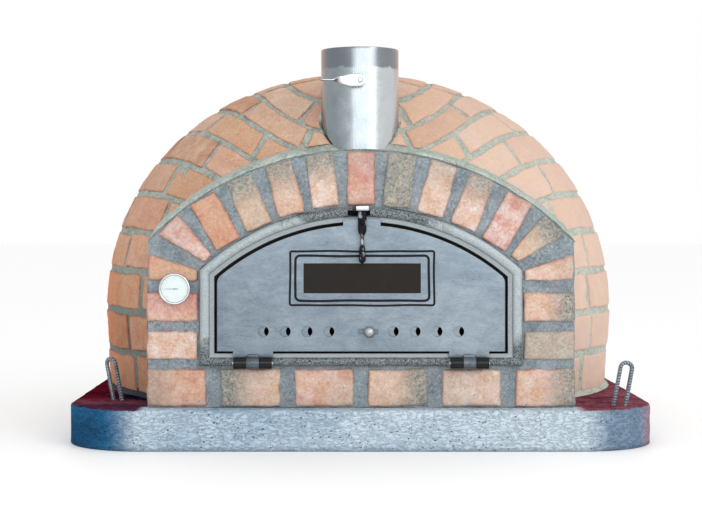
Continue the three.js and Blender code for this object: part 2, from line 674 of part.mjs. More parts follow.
function damperHandle() {
  const { tip, y, height, thickness } = HANDLE;
  const axes = [[0, 0, 1], [0, 1, 0]];
  // Share of the way to the tip, height, thickness and twist.
  const stations = [[-0.14, 0.6, 1, 0], [0, 0.8, 1, 0], [0.2, 1, 1, 0], [0.35, 0.95, 1, 0], [0.5, 0.7, 1, 25],
    [0.62, 0.6, 1, 55], [0.75, 0.6, 1, 85], [0.9, 0.65, 1, 90], [1, 0.4, 1, 90]];
  const sections = stations.map(([share, tall, thick, twist]) => {
    const centre = [share * tip, y, DAMPER.height];
    const angle = THREE.MathUtils.degToRad(twist);
    return twistedSection(centre, tall * height, thick * thickness, angle, axes);
  });
  const bar = lofted(sections);
  const bore = solid(throughCylinder(DAMPER.spindle + GAP, -FAR, 0, 0, DAMPER.height));
  return geometryOf(without(solid(bar), bore));
}

// ---------------------------------------------------------------- materials

function finish(color, roughness, metalness) {
  return new THREE.MeshStandardMaterial({ color, roughness, metalness });
}

const concrete = () => finish(0x8a93a8, 0.9, 0);
const rebar = () => finish(0x4a4d52, 0.55, 0.9);
const castRefractory = () => finish(0xc9b79c, 0.95, 0);
const insulation = () => finish(0xe8e4da, 1, 0);
const domeBrick = () => finish(0xc98a62, 0.92, 0);
const facingBrick = () => finish(0xc4826a, 0.92, 0);
const mortar = () => finish(0x7d8a8c, 0.95, 0);
const castIron = () => finish(0x6f7d86, 0.45, 0.8);
const frameIron = () => finish(0x8d999c, 0.5, 0.7);
const blackSteel = () => finish(0x1d1f22, 0.35, 0.9);
const darkGlass = () => finish(0x2a2722, 0.12, 0);
const brightSteel = () => finish(0xc9ced2, 0.25, 1);
const dialWhite = () => finish(0xf4f5f0, 0.5, 0);
const needleBlack = () => finish(0x202020, 0.5, 0);

// ---------------------------------------------------------------- assembly

const model = new THREE.Group();
const oven = new THREE.Group();
oven.position.z = SLAB.thickness;
model.add(oven);

function place(name, geometry, material) {
  const mesh = new THREE.Mesh(weld(geometry), material);
  mesh.name = name;
  oven.add(mesh);
}

place('base_slab', baseSlab(), concrete());
for (const loop of loopPlaces()) place(`lifting_loop_${loop.name}`, liftingLoop(loop), rebar());

place('floor_insulation', floorInsulation(), insulation());
place('hearth_slab', hearthSlab(), castRefractory());
place('entry_tile', entryTile(), castRefractory());
place('inner_dome', innerDome(), castRefractory());
place('entry_vault', entryVault(), castRefractory());
place('dome_insulation', domeInsulation(), insulation());

for (let i = 0; i < COURSES.count; i += 1) place(`dome_course_${i + 1}`, domeCourse(i), domeBrick());
place('dome_cap', domeCap(), domeBrick());

const facingBricks = [...sillBricks(), ...jambBricks(), ...archBricks()];
for (const { name, points, depth } of facingBricks) place(name, brickBlock(points, depth), facingBrick());
place('facade_mortar', facadeMortar(facingBricks), mortar());

place('door_frame', doorFrame(), frameIron());
place('hinge_pin_left', hingePin(-1), blackSteel());
place('hinge_pin_right', hingePin(1), blackSteel());
place('latch_catch', latchCatch(), brightSteel());

place('door_leaf', doorLeaf(), castIron());
place('sight_glass', sightGlass(), darkGlass());
place('glass_retainer', glassRetainer(), blackSteel());
place('air_slider', airSlider(), blackSteel());
place('slider_knob', sliderKnob(), castIron());
place('latch_lever', latchLever(), castIron());

place('thermometer_case', thermometerCase(), brightSteel());
place('thermometer_dial', thermometerDial(), dialWhite());
place('thermometer_needle', thermometerNeedle(), needleBlack());

place('flue_pipe', fluePipe(), brightSteel());
place('damper', damper(), brightSteel());
place('damper_handle', damperHandle(), brightSteel());

export default model;
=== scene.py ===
import json
import math
from itertools import product

import bmesh
import bpy
import numpy as np
from mathutils import Matrix, Vector


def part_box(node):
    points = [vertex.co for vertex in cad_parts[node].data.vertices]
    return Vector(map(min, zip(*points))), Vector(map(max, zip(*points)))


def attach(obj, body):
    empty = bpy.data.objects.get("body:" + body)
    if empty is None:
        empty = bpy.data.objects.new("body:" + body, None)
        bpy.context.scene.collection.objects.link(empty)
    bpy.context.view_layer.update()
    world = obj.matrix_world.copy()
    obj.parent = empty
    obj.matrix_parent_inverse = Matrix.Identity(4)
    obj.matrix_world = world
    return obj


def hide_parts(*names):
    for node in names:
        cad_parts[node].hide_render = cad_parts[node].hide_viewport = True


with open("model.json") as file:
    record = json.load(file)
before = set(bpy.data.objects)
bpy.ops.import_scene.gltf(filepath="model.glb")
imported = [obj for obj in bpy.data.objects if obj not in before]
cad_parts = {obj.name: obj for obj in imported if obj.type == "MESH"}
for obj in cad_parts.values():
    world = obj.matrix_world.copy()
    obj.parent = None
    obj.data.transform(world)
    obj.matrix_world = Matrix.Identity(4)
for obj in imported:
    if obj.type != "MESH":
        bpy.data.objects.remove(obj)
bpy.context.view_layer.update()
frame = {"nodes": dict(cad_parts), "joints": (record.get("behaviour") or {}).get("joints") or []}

# ---------------------------------------------------------------- sizes from the frame, in metres

NODES = frame["nodes"]
JOINTS = {joint["name"]: joint for joint in frame["joints"]}
MM = 0.001

SLAB_LOW, SLAB_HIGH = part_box("base_slab")
TOP = SLAB_HIGH.z
SLAB_CORNER = 150 * MM

DOME_RADIUS = 535 * MM
DOME_FOOT_RADIUS = 525 * MM
DOME_FOOT_HEIGHT = 150 * MM
DOME_RISE = 507 * MM
DOME_POWER = 2.1
COURSE_PITCH = 82.5 * MM
CAD_COURSES = 8
ROWS = 11
CROWN_FORWARD = 110 * MM
COURSE_DIP = 165 * MM

ARCH_CENTRE = TOP - 67 * MM
ARCH_OUTER = 542 * MM
ARCH_HALF_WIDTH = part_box("sill_brick_6")[1].x
ARCH_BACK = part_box("facade_mortar")[1].y

FRAME_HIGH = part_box("door_frame")[1]
OPENING_HALF = FRAME_HIGH.x
OPENING_BOTTOM = TOP + 77 * MM
OPENING_RADIUS = 436.7 * MM
FRAME_STEP = -514 * MM
LEAF_FRONT = -520 * MM
LEAF_BACK = -508 * MM
HINGE = Vector(JOINTS["door_hinge"]["pos_m"])
HINGE_X = 198 * MM
LATCH = Vector(JOINTS["latch_swing"]["pos_m"])
DAMPER = Vector(JOINTS["damper_turn"]["pos_m"])
NEEDLE = Vector(JOINTS["needle_turn"]["pos_m"])

FLUE_LOW, FLUE_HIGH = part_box("flue_pipe")
FLUE_RADIUS = (FLUE_HIGH.x - FLUE_LOW.x) / 2
FLUE_Y = (FLUE_LOW.y + FLUE_HIGH.y) / 2
FLUE_WALL = 2 * MM
HANDLE_Y = -441 * MM

RNG = np.random.default_rng(11)


# ---------------------------------------------------------------- noise

def lattice_noise(points, size, seed=0):
    """Smooth value noise from -1 to 1 whose features are about size across."""
    spot = np.asarray(points, float) / size + seed * 19.37 + 400.0
    cell = np.floor(spot).astype(np.int64)
    part = spot - cell
    part = part * part * (3 - 2 * part)
    total = np.zeros(len(spot))
    for corner in product((0, 1), repeat=3):
        c = cell + np.array(corner)
        mixed = (c[:, 0] * 73856093) ^ (c[:, 1] * 19349663) ^ (c[:, 2] * 83492791)
        mixed = ((mixed ^ (mixed >> 13)) * 1274126177) & 0xFFFFFFFF
        mixed = (mixed ^ (mixed >> 16)) & 0xFFFF
        weight = np.prod(np.where(np.array(corner) == 1, part, 1 - part), axis=1)
        total += (mixed / 32767.5 - 1) * weight
    return total


def wander(points, size, seed=0):
    """A noise vector for each point."""
    return np.stack([lattice_noise(points, size, seed + i) for i in range(3)], axis=1)


# ---------------------------------------------------------------- mesh helpers

def turn_outward(mesh):
    bm = bmesh.new()
    bm.from_mesh(mesh)
    bmesh.ops.recalc_face_normals(bm, faces=bm.faces)
    bm.to_mesh(mesh)
    bm.free()


def new_mesh(name, verts, faces, values=None):
    """A mesh with its faces turned outward and one attribute for each of the named values."""
    mesh = bpy.data.meshes.new(name)
    mesh.from_pydata([tuple(map(float, v)) for v in verts], [], faces)
    for key, data in (values or {}).items():
        layer = mesh.attributes.new(key, "FLOAT", "POINT")
        layer.data.foreach_set("value", np.asarray(data, np.float32))
    turn_outward(mesh)
    return mesh


def new_object(name, data):
    made = bpy.data.objects.new(name, data)
    bpy.context.scene.collection.objects.link(made)
    return made


def add_mesh(name, mesh, material, body, replaces=(), sharp=None):
    """Turns a finished mesh into a visible piece that rides a body and stands in for CAD nodes."""
    turn_outward(mesh)
    mesh.shade_smooth()
    if sharp is not None:
        mesh.set_sharp_from_angle(angle=math.radians(sharp))
    mesh.materials.clear()
    mesh.materials.append(material)
    piece = new_object(name, mesh)
    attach(piece, body)
    if replaces:
        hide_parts(*replaces)


def add_piece(name, verts, faces, material, body, replaces=(), slot=None, values=None, sharp=None):
    add_mesh(name, new_mesh(name, verts, faces, values), material, body, replaces, sharp)


def evaluated_mesh(piece):
    graph = bpy.context.evaluated_depsgraph_get()
    return bpy.data.meshes.new_from_object(piece.evaluated_get(graph))


def loose_object(name, verts, faces):
    """An object used only for cutting or joining."""
    return new_object(name, new_mesh(name, verts, faces))


def boolean(mesh, cutters, operation="DIFFERENCE"):
    """Cuts a mesh by loose objects and returns the new mesh."""
    body = new_object("boolean_body", mesh)
    for cutter in cutters:
        step = body.modifiers.new("cut", "BOOLEAN")
        step.operation = operation
        step.solver = "MANIFOLD"
        step.object = cutter
    bpy.context.view_layer.update()
    result = evaluated_mesh(body)
    bpy.data.objects.remove(body)
    return result


def drop(*pieces):
    for piece in pieces:
        bpy.data.objects.remove(piece)


def run_lengths(points):
    """The distance along a path at each of its points."""
    steps = np.linalg.norm(np.diff(points, axis=0), axis=1)
    return np.concatenate([[0], np.cumsum(steps)])


def grid_faces(rows, columns, offset=0):
    """Quads between rows of points. The columns close on themselves."""
    faces = []
    for i in range(rows - 1):
        for j in range(columns):
            a = offset + i * columns + j
            b = offset + i * columns + (j + 1) % columns
            faces.append((a, b, b + columns, a + columns))
    return faces


def loft(rings, closed=False):
    """Points and faces of a skin through rings of equal length, capped unless it closes on itself."""
    rows = len(rings)
    columns = len(rings[0])
    verts = [point for ring in rings for point in ring]
    faces = grid_faces(rows, columns)
    if closed:
        last = (rows - 1) * columns
        faces += [(last + j, last + (j + 1) % columns, (j + 1) % columns, j) for j in range(columns)]
    else:
        faces.append(tuple(range(columns)))
        faces.append(tuple(range((rows - 1) * columns, rows * columns)))
    return verts, faces


def merge(shapes):
    """Joins several (verts, faces) shapes into one."""
    verts, faces = [], []
    for more_verts, more_faces in shapes:
        start = len(verts)
        verts.extend(more_verts)
        faces.extend(tuple(start + i for i in face) for face in more_faces)
    return verts, faces


def block_template(nu, nv, nw):
    """Surface points of a block from -1 to 1 each way, closer together towards its edges, and its faces."""
    index, points, faces = {}, [], []

    def point(i, j, k):
        if (i, j, k) not in index:
            index[(i, j, k)] = len(points)
            points.append([math.sin(math.pi * (n / m - 0.5)) for n, m in ((i, nu), (j, nv), (k, nw))])
        return index[(i, j, k)]

    def side(count_a, count_b, place):
        for a, b in product(range(count_a), range(count_b)):
            faces.append(tuple(point(*place(a + da, b + db)) for da, db in ((0, 0), (1, 0), (1, 1), (0, 1))))

    for end in (0, 1):
        side(nu, nv, lambda a, b, e=end: (a, b, e * nw))
        side(nu, nw, lambda a, b, e=end: (a, e * nv, b))
        side(nv, nw, lambda a, b, e=end: (e * nu, a, b))
    return np.array(points), faces


def rounded_block(template, half, radius):
    """Block points in real units with rounded edges."""
    half = np.asarray(half, float)
    local = template * half
    core = np.clip(local, -(half - radius), half - radius)
    away = local - core
    length = np.linalg.norm(away, axis=1, keepdims=True)
    return core + away / np.maximum(length, 1e-9) * np.minimum(length, radius)


def lathe(profile, segments, axis="Z", centre=(0, 0, 0)):
    """Turns (radius, along) points about an axis. Points on the axis close the ends."""
    verts, faces, rings = [], [], []
    for radius, along in profile:
        if radius < 1e-7:
            rings.append([len(verts)])
            verts.append((0.0, 0.0, along))
            continue
        start = len(verts)
        for j in range(segments):
            angle = 2 * math.pi * j / segments
            verts.append((radius * math.cos(angle), radius * math.sin(angle), along))
        rings.append(list(range(start, start + segments)))
    pairs = list(zip(rings, rings[1:]))
    if len(rings[0]) > 1 or len(rings[-1]) > 1:
        pairs.append((rings[-1], rings[0]))
    for low, high in pairs:
        for j in range(segments):
            k = (j + 1) % segments
            corners = [low[j % len(low)], low[k % len(low)], high[k % len(high)], high[j % len(high)]]
            unique = list(dict.fromkeys(corners))
            if len(unique) > 2:
                faces.append(tuple(unique))
    turn = {"Z": lambda p: p, "Y": lambda p: (p[0], p[2], -p[1]), "X": lambda p: (p[2], p[1], p[0])}[axis]
    return [tuple(np.add(turn(p), centre)) for p in verts], faces


def rounded_corners(count):
    """Signs of each corner of a rectangle, with the directions of the points round it, anticlockwise."""
    for turn, signs in enumerate(((1, -1), (1, 1), (-1, 1), (-1, -1))):
        for angle in np.radians(np.linspace(-90 + 90 * turn, 90 * turn, count)):
            yield signs, (math.cos(angle), math.sin(angle))


def bar_section(width, thick, power, count):
    """Points round the section of a flat bar: an ellipse squared off by a power under one."""
    section = []
    for angle in np.linspace(0, 2 * math.pi, count, endpoint=False):
        c, s = math.cos(angle), math.sin(angle)
        section.append((width * math.copysign(abs(c) ** power, c), thick * math.copysign(abs(s) ** power, s)))
    return section


def in_mm(*points):
    """A profile given in millimetres, in metres."""
    return [tuple(value * MM for value in point) for point in points]


def box_shape(low, high, round_off=0.8 * MM, steps=4):
    """A rectangular block with softened edges."""
    low, high = np.array(low, float), np.array(high, float)
    points, faces = block_template(steps, steps, steps)
    shaped = rounded_block(points, (high - low) / 2, round_off)
    return [tuple(p) for p in shaped + (low + high) / 2], faces


def arch_outline(half_width, bottom, radius, arc=48, side=10, base=30):
    """Points round straight sides under a round head, with the same count for every size."""
    spring = math.acos(half_width / radius)
    shoulder = ARCH_CENTRE + radius * math.sin(spring)
    points = [(x, bottom) for x in np.linspace(-half_width, half_width, base, endpoint=False)]
    points += [(half_width, z) for z in np.linspace(bottom, shoulder, side, endpoint=False)]
    for angle in np.linspace(spring, math.pi - spring, arc, endpoint=False):
        points.append((radius * math.cos(angle), ARCH_CENTRE + radius * math.sin(angle)))
    points += [(-half_width, z) for z in np.linspace(shoulder, bottom, side, endpoint=False)]
    return points


def arch_prism(half_width, bottom, radius, front, back):
    outline = arch_outline(half_width, bottom, radius)
    return loft([[(x, y, z) for x, z in outline] for y in (front, back)])


# ---------------------------------------------------------------- dome profile

def dome_profile(steps=400):
    points = [(DOME_FOOT_RADIUS, TOP)]
    for i in range(steps + 1):
        angle = i / steps * math.pi / 2
        r = DOME_RADIUS * max(math.cos(angle), 0) ** (2 / DOME_POWER)
        z = TOP + DOME_FOOT_HEIGHT + DOME_RISE * math.sin(angle) ** (2 / DOME_POWER)
        points.append((r, z))
    points = np.array(points)
    return run_lengths(points), points[:, 0], points[:, 1]


PROFILE_S, PROFILE_R, PROFILE_Z = dome_profile()
DOME_LENGTH = PROFILE_S[-1]


def dome_frame(length):
    """Radius, height and outward slope of the dome at lengths along its profile."""
    length = np.clip(length, 0, DOME_LENGTH)
    step = 2 * MM
    low, high = np.clip(length - step, 0, DOME_LENGTH), np.clip(length + step, 0, DOME_LENGTH)
    dr = np.interp(high, PROFILE_S, PROFILE_R) - np.interp(low, PROFILE_S, PROFILE_R)
    dz = np.interp(high, PROFILE_S, PROFILE_Z) - np.interp(low, PROFILE_S, PROFILE_Z)
    size = np.maximum(np.hypot(dr, dz), 1e-9)
    r, z = np.interp(length, PROFILE_S, PROFILE_R), np.interp(length, PROFILE_S, PROFILE_Z)
    return r, z, dz / size, -dr / size


def dome_place(angle, length, out):
    """Points on the dome: angle from the front towards +X, length up the profile, distance outward."""
    r, z, nr, nz = dome_frame(length)
    radius = np.maximum(r + out * nr, 0)
    return np.stack([radius * np.sin(angle), -radius * np.cos(angle), z + out * nz], axis=-1)


def smooth(value, low, high):
    """0 below low, 1 above high, with an eased change between them."""
    part = np.clip((value - low) / (high - low), 0, 1)
    return part * part * (3 - 2 * part)


def ring_place(angle, height, out):
    """Points on the dome by course: the courses dip at the front and close on a crown set forward."""
    height = np.minimum(height, DOME_LENGTH)
    forward = CROWN_FORWARD * (np.clip(height - 0.45, 0, None) / (DOME_LENGTH - 0.45)) ** 2
    dip = COURSE_DIP * smooth(height, 0.10, 0.52) * (1 - smooth(height, 0.745, DOME_LENGTH))
    left = (DOME_LENGTH - height) * np.sin(angle)
    ahead = (DOME_LENGTH - height) * np.cos(angle) + forward
    around = np.arctan2(left, ahead)
    length = DOME_LENGTH - np.hypot(left, ahead) - dip * np.clip(np.cos(around), 0, None) ** 5
    return dome_place(around, length, out)


def dome_front(x, z):
    """Y of the dome's front at a place on the portal."""
    r = np.interp(z, PROFILE_Z, PROFILE_R)
    return -math.sqrt(max(r * r - x * x, 0.0))


# ---------------------------------------------------------------- materials

LIGHT_GAIN = 1.45


def paint(red, green, blue):
    """A surface colour from the 0-255 colour that it should show under the studio light."""
    def linear(value):
        value = value / 255
        return (value / 12.92 if value <= 0.04045 else ((value + 0.055) / 1.055) ** 2.4) / LIGHT_GAIN
    return (linear(red), linear(green), linear(blue), 1.0)


class Shader:
    """A material with short helpers for building its nodes.

    The size of a noise and the depth of a bump are in millimetres. Places x, y and z are in metres.
    """

    def __init__(self, name):
        self.material = bpy.data.materials.new(name)
        self.material.use_nodes = True
        self.tree = self.material.node_tree
        self.surface = self.tree.nodes["Principled BSDF"]
        self.place = self.tree.nodes.new("ShaderNodeTexCoord").outputs["Object"]
        split = self.tree.nodes.new("ShaderNodeSeparateXYZ")
        self.put(split.inputs[0], self.place)
        self.x, self.y, self.z = split.outputs

    def put(self, socket, value):
        if isinstance(value, bpy.types.NodeSocket):
            self.tree.links.new(value, socket)
        else:
            socket.default_value = value

    def finish(self, **values):
        """Sets the surface's inputs and returns the material."""
        for key, value in values.items():
            self.put(self.surface.inputs[key.replace("_", " ")], value)
        return self.material

    def node(self, kind, **inputs):
        made = self.tree.nodes.new(kind)
        for key, value in inputs.items():
            self.put(made.inputs[key], value)
        return made.outputs[0]

    def stretch(self, x=1.0, y=1.0, z=1.0):
        return self.node("ShaderNodeMapping", Vector=self.place, Scale=(x, y, z))

    def noise(self, size, detail=4.0, roughness=0.6, distortion=0.0, vector=None):
        return self.node("ShaderNodeTexNoise", Vector=vector or self.place, Scale=1000 / size, Detail=detail,
                         Roughness=roughness, Distortion=distortion)

    def cells(self, size, vector=None):
        return self.node("ShaderNodeTexVoronoi", Vector=vector or self.place, Scale=1000 / size)

    def ramp(self, value, *stops):
        made = self.tree.nodes.new("ShaderNodeValToRGB")
        elements = made.color_ramp.elements
        while len(elements) < len(stops):
            elements.new(0.5)
        for element, (position, colour) in zip(elements, stops):
            element.position = position
            element.color = colour if isinstance(colour, tuple) else (colour, colour, colour, 1.0)
        self.put(made.inputs["Fac"], value)
        return made.outputs["Color"]

    def mix(self, share, first, second, blend="MIX"):
        made = self.tree.nodes.new("ShaderNodeMix")
        made.data_type = "RGBA"
        made.blend_type = blend
        self.put(made.inputs[0], share)
        self.put(made.inputs[6], first)
        self.put(made.inputs[7], second)
        return made.outputs[2]

    def calc(self, operation, first, second=0.5):
        made = self.tree.nodes.new("ShaderNodeMath")
        made.operation = operation
        self.put(made.inputs[0], first)
        self.put(made.inputs[1], second)
        return made.outputs[0]

    def times(self, first, second):
        return self.calc("MULTIPLY", first, second)

    def plus(self, first, second):
        return self.calc("ADD", first, second)

    def most(self, first, second):
        return self.calc("MAXIMUM", first, second)

    def apart(self, value, middle=0.0):
        """How far a value is from a middle one."""
        return self.calc("ABSOLUTE", self.calc("SUBTRACT", value, middle))

    def span(self, value, low, high, out_low=0.0, out_high=1.0):
        made = self.tree.nodes.new("ShaderNodeMapRange")
        for socket, given in zip(made.inputs, (value, low, high, out_low, out_high)):
            self.put(socket, given)
        return made.outputs[0]

    def attribute(self, name):
        made = self.tree.nodes.new("ShaderNodeAttribute")
        made.attribute_name = name
        return made.outputs["Fac"]

    def bump(self, height, depth, strength=1.0, normal=None):
        made = self.tree.nodes.new("ShaderNodeBump")
        made.inputs["Distance"].default_value = depth * MM
        made.inputs["Strength"].default_value = strength
        self.put(made.inputs["Height"], height)
        if normal is not None:
            self.put(made.inputs["Normal"], normal)
        return made.outputs[0]


def brick_material(name, colours, bloom_colour, sand_colour, dark_fleck_and_rim_shade, soot_colour, dome):
    """Rough clay: each brick has its own tone, with mottling, sandy grain, pores, a pale bloom and soot, and
    painted shade along its rims; on the dome also painted light from the right and painted shade on its lower
    left.
    """
    s = Shader(name)
    drift = s.span(s.noise(52, 3), 0.3, 0.7, -0.2, 0.2)
    base = s.ramp(s.plus(s.attribute("tone"), drift), *colours)
    burnt = s.times(s.attribute("shade"), s.span(s.noise(40, 4), 0.35, 0.6, 0.3, 0.8))
    base = s.mix(burnt, base, paint(188, 122, 84))
    blotch = s.span(s.noise(16, 5, 0.65, 0.7), 0.50, 0.68)
    base = s.mix(s.times(blotch, 0.30), base, paint(196, 132, 98))
    pale = s.span(s.noise(9, 6, 0.72), 0.50, 0.72)
    base = s.mix(s.times(pale, 0.38), base, paint(240, 212, 186))
    sandy = s.span(s.noise(28, 5, 0.66), 0.46, 0.62, 0.0, 0.4)
    base = s.mix(sandy, base, sand_colour)
    bloom = s.times(s.attribute("bloom"), s.span(s.noise(30, 6, 0.72, 0.2), 0.36, 0.64, 0.0, 0.85))
    base = s.mix(bloom, base, bloom_colour)
    grain = s.noise(4.2, 6, 0.86)
    base = s.mix(0.9, base, s.ramp(grain, (0.30, 0.60), (0.70, 1.34)), "MULTIPLY")
    # Painted shade: each brick's rim is darkened, as if shaded where it meets the joints.
    edge = s.times(s.attribute("edge"), s.span(s.noise(22, 4, 0.7), 0.36, 0.58, 0.15, 0.8))
    base = s.mix(edge, base, dark_fleck_and_rim_shade)
    fleck = s.span(s.noise(3.4, 6, 0.8), 0.60, 0.70)
    base = s.mix(s.times(fleck, 0.55), base, bloom_colour)
    scab = s.times(s.span(s.noise(4.2, 6, 0.8, 0.6), 0.38, 0.31), s.span(s.noise(26, 4), 0.46, 0.58))
    base = s.mix(s.times(scab, 0.7), base, dark_fleck_and_rim_shade)
    pores = s.span(s.cells(5.2), 0.10, 0.22, 1.0, 0.0)
    pores = s.times(pores, s.span(s.noise(15, 3), 0.5, 0.6))
    base = s.mix(s.times(pores, 0.7), base, paint(130, 90, 66))
    soot = s.times(s.attribute("soot"), s.span(s.noise(13, 6, 0.76, 0.6), 0.30, 0.50))
    crust = s.mix(s.span(s.noise(4, 5, 0.8), 0.40, 0.62), soot_colour, paint(188, 188, 180))
    base = s.mix(soot, base, crust)
    if dome:
        # Painted shade: the dome's lower left is darkened and warmed, as if turned away from the light, with
        # a mottling noise.
        left = s.times(s.span(s.x, -0.10, -0.50, 0.0, 0.9), s.span(s.z, TOP + 0.50, TOP + 0.20))
        rust = s.span(s.noise(34, 6, 0.68, 0.6), 0.40, 0.64)
        base = s.mix(left, base, s.mix(rust, (0.86, 0.72, 0.64, 1.0), (0.84, 0.56, 0.42, 1.0)), "MULTIPLY")
        # Painted light: a warm orange rim of bounced light along the dome's left outline.
        rim = s.span(s.x, -0.485, -0.53, 0.0, 0.75)
        base = s.mix(rim, base, paint(240, 138, 78))
        # Painted light: the bricks grow paler towards the right, the side the light comes from.
        right = s.span(s.x, -0.15, 0.42, 0.0, 0.8)
        lit_side_colour = s.mix(s.span(s.noise(30, 5, 0.7), 0.38, 0.62), paint(252, 222, 196), paint(244, 212, 200))
        base = s.mix(right, base, lit_side_colour)
    waves = s.bump(s.noise(15, 5, 0.62), 1.8, 0.55)
    sand = s.bump(s.noise(3.0, 5, 0.74), 0.8, 0.7, waves)
    rough = s.span(grain, 0.3, 0.7, 0.82, 0.98)
    return s.finish(Base_Color=base, Roughness=rough, Normal=s.bump(pores, -1.4, 0.8, sand))


def mortar_material(name, dark, light, lime_colour, warm, crack_colour, dome):
    """Sandy mortar with lime bloom, trowel marks and a little brick dust; on the dome, painted shade on the
    lower left, a painted shadow at the foot and painted light towards the right.
    """
    s = Shader(name)
    base = s.mix(s.span(s.noise(30, 5, 0.62, 0.4), 0.3, 0.7), dark, light)
    lime = s.span(s.noise(7, 6, 0.7), 0.52, 0.72)
    base = s.mix(s.times(lime, 0.55), base, lime_colour)
    dust = s.span(s.noise(60, 4), 0.52, 0.68)
    base = s.mix(s.times(dust, 0.35), base, warm)
    if dome:
        # Painted shade: the mortar darkens on the dome's lower left, away from the light.
        lower_left_shade = s.times(s.span(s.x, -0.05, -0.45, 0.0, 0.75), s.span(s.z, TOP + 0.36, TOP + 0.14))
        base = s.mix(lower_left_shade, base, paint(104, 112, 112))
        # Painted shadow: near-black navy at the dome's foot on its left side.
        foot = s.times(s.span(s.z, TOP + 0.016, TOP + 0.010), s.span(s.x, -0.20, -0.33, 0.0, 0.95))
        base = s.mix(foot, base, paint(12, 14, 38))
        # Painted light: the mortar pales towards the right, the side the light comes from.
        base = s.mix(s.span(s.x, -0.05, 0.42, 0.0, 0.7), base, paint(222, 228, 212))
    folds = s.apart(s.noise(13, 6, 0.7, 0.8), 0.5)
    cracks = s.times(s.span(folds, 0.004, 0.03, 0.75, 0.0), s.span(s.noise(50, 3), 0.42, 0.60))
    base = s.mix(cracks, base, crack_colour)
    grain = s.noise(4.6, 6, 0.88)
    base = s.mix(0.9, base, s.ramp(grain, (0.30, 0.42), (0.70, 1.52)), "MULTIPLY")
    waves = s.bump(s.noise(12, 5, 0.65), 2.2, 0.6)
    sand = s.bump(s.noise(2.4, 4, 0.8), 1.0, 0.8, waves)
    return s.finish(Base_Color=base, Roughness=s.span(grain, 0.3, 0.7, 0.85, 1.0), Normal=sand)


def slab_side(s):
    """Steel-blue coat, wrinkled and pitted: its colour with painted light and shade, and the relief, folds
    and pits for the bump.
    """
    wide = s.noise(90, 4, 0.55, 0.5, s.stretch(0.6, 0.6, 1.3))
    side = s.mix(s.span(wide, 0.32, 0.68), paint(176, 202, 224), paint(218, 236, 250))
    # Painted light: the coat pales towards the right, the side the light comes from.
    side = s.mix(s.span(s.x, 0.05, 0.30, 0.0, 0.55), side, paint(234, 248, 255))
    relief = s.noise(10, 7, 0.70, 0.3, s.stretch(0.6, 0.6, 1.5))
    folds = s.apart(relief, 0.5)
    small = s.apart(s.noise(5.5, 6, 0.7, 0.3, s.stretch(0.7, 0.7, 1.3)), 0.5)
    # Painted shade: dark lines in the creases of the wrinkled coat, stronger towards the top edge.
    cracks = s.most(s.span(folds, 0.003, 0.016, 0.8, 0.0), s.span(small, 0.003, 0.016, 0.5, 0.0))
    cracks = s.times(cracks, s.span(s.noise(46, 4), 0.46, 0.62, 0.04, 0.55))
    cracks = s.times(cracks, s.span(s.z, 0.030, 0.064, 0.45, 1.0))
    shine = s.times(s.span(folds, 0.05, 0.10), s.span(s.noise(7, 4, 0.7), 0.46, 0.60))
    # Painted shade: the rounded ends are darker, turned away from the light.
    ends = s.span(s.apart(s.x), 0.405, 0.455)
    middle = s.span(ends, 0.0, 1.0, 1.0, 0.25)
    side = s.mix(s.times(shine, 0.38), side, paint(240, 248, 255))
    side = s.mix(s.times(cracks, middle), side, paint(58, 82, 122))
    side = s.mix(s.times(ends, 0.8), side, paint(98, 130, 162))
    # Painted shade: the left end turns a strong dark blue, away from the light, fading towards the back.
    shaded_left_end = s.span(s.plus(s.x, s.span(wide, 0.3, 0.7, -0.012, 0.012)), -0.405, -0.47, 0.0, 0.96)
    shaded_left_end = s.times(shaded_left_end, s.span(s.y, -0.05, -0.38, 0.35, 1.0))
    side = s.mix(shaded_left_end, side, s.mix(s.span(wide, 0.35, 0.65), paint(36, 88, 130), paint(40, 122, 170)))
    glints = s.span(s.cells(9), 0.05, 0.12, 0.75, 0.0)
    side = s.mix(s.times(glints, s.span(s.noise(24, 3), 0.5, 0.58)), side, paint(190, 218, 236))
    front_corner = s.span(s.y, -0.22, -0.40)
    rosy = s.times(s.span(s.x, 0.515, 0.545, 0.0, 0.75), front_corner)
    side = s.mix(rosy, side, paint(206, 148, 160))
    pits = s.span(s.cells(8, vector=s.stretch(0.8, 0.8, 1.2)), 0.10, 0.20, 1.0, 0.0)
    pits = s.times(pits, s.span(s.noise(30, 4), 0.46, 0.53))
    side = s.mix(s.times(pits, 0.8), side, paint(34, 46, 76))
    # Painted shade: darker along the bottom edge, next to the floor.
    side = s.mix(s.span(s.z, 0.010, 0.0, 0.0, 0.5), side, paint(70, 82, 104))
    return side, relief, folds, pits


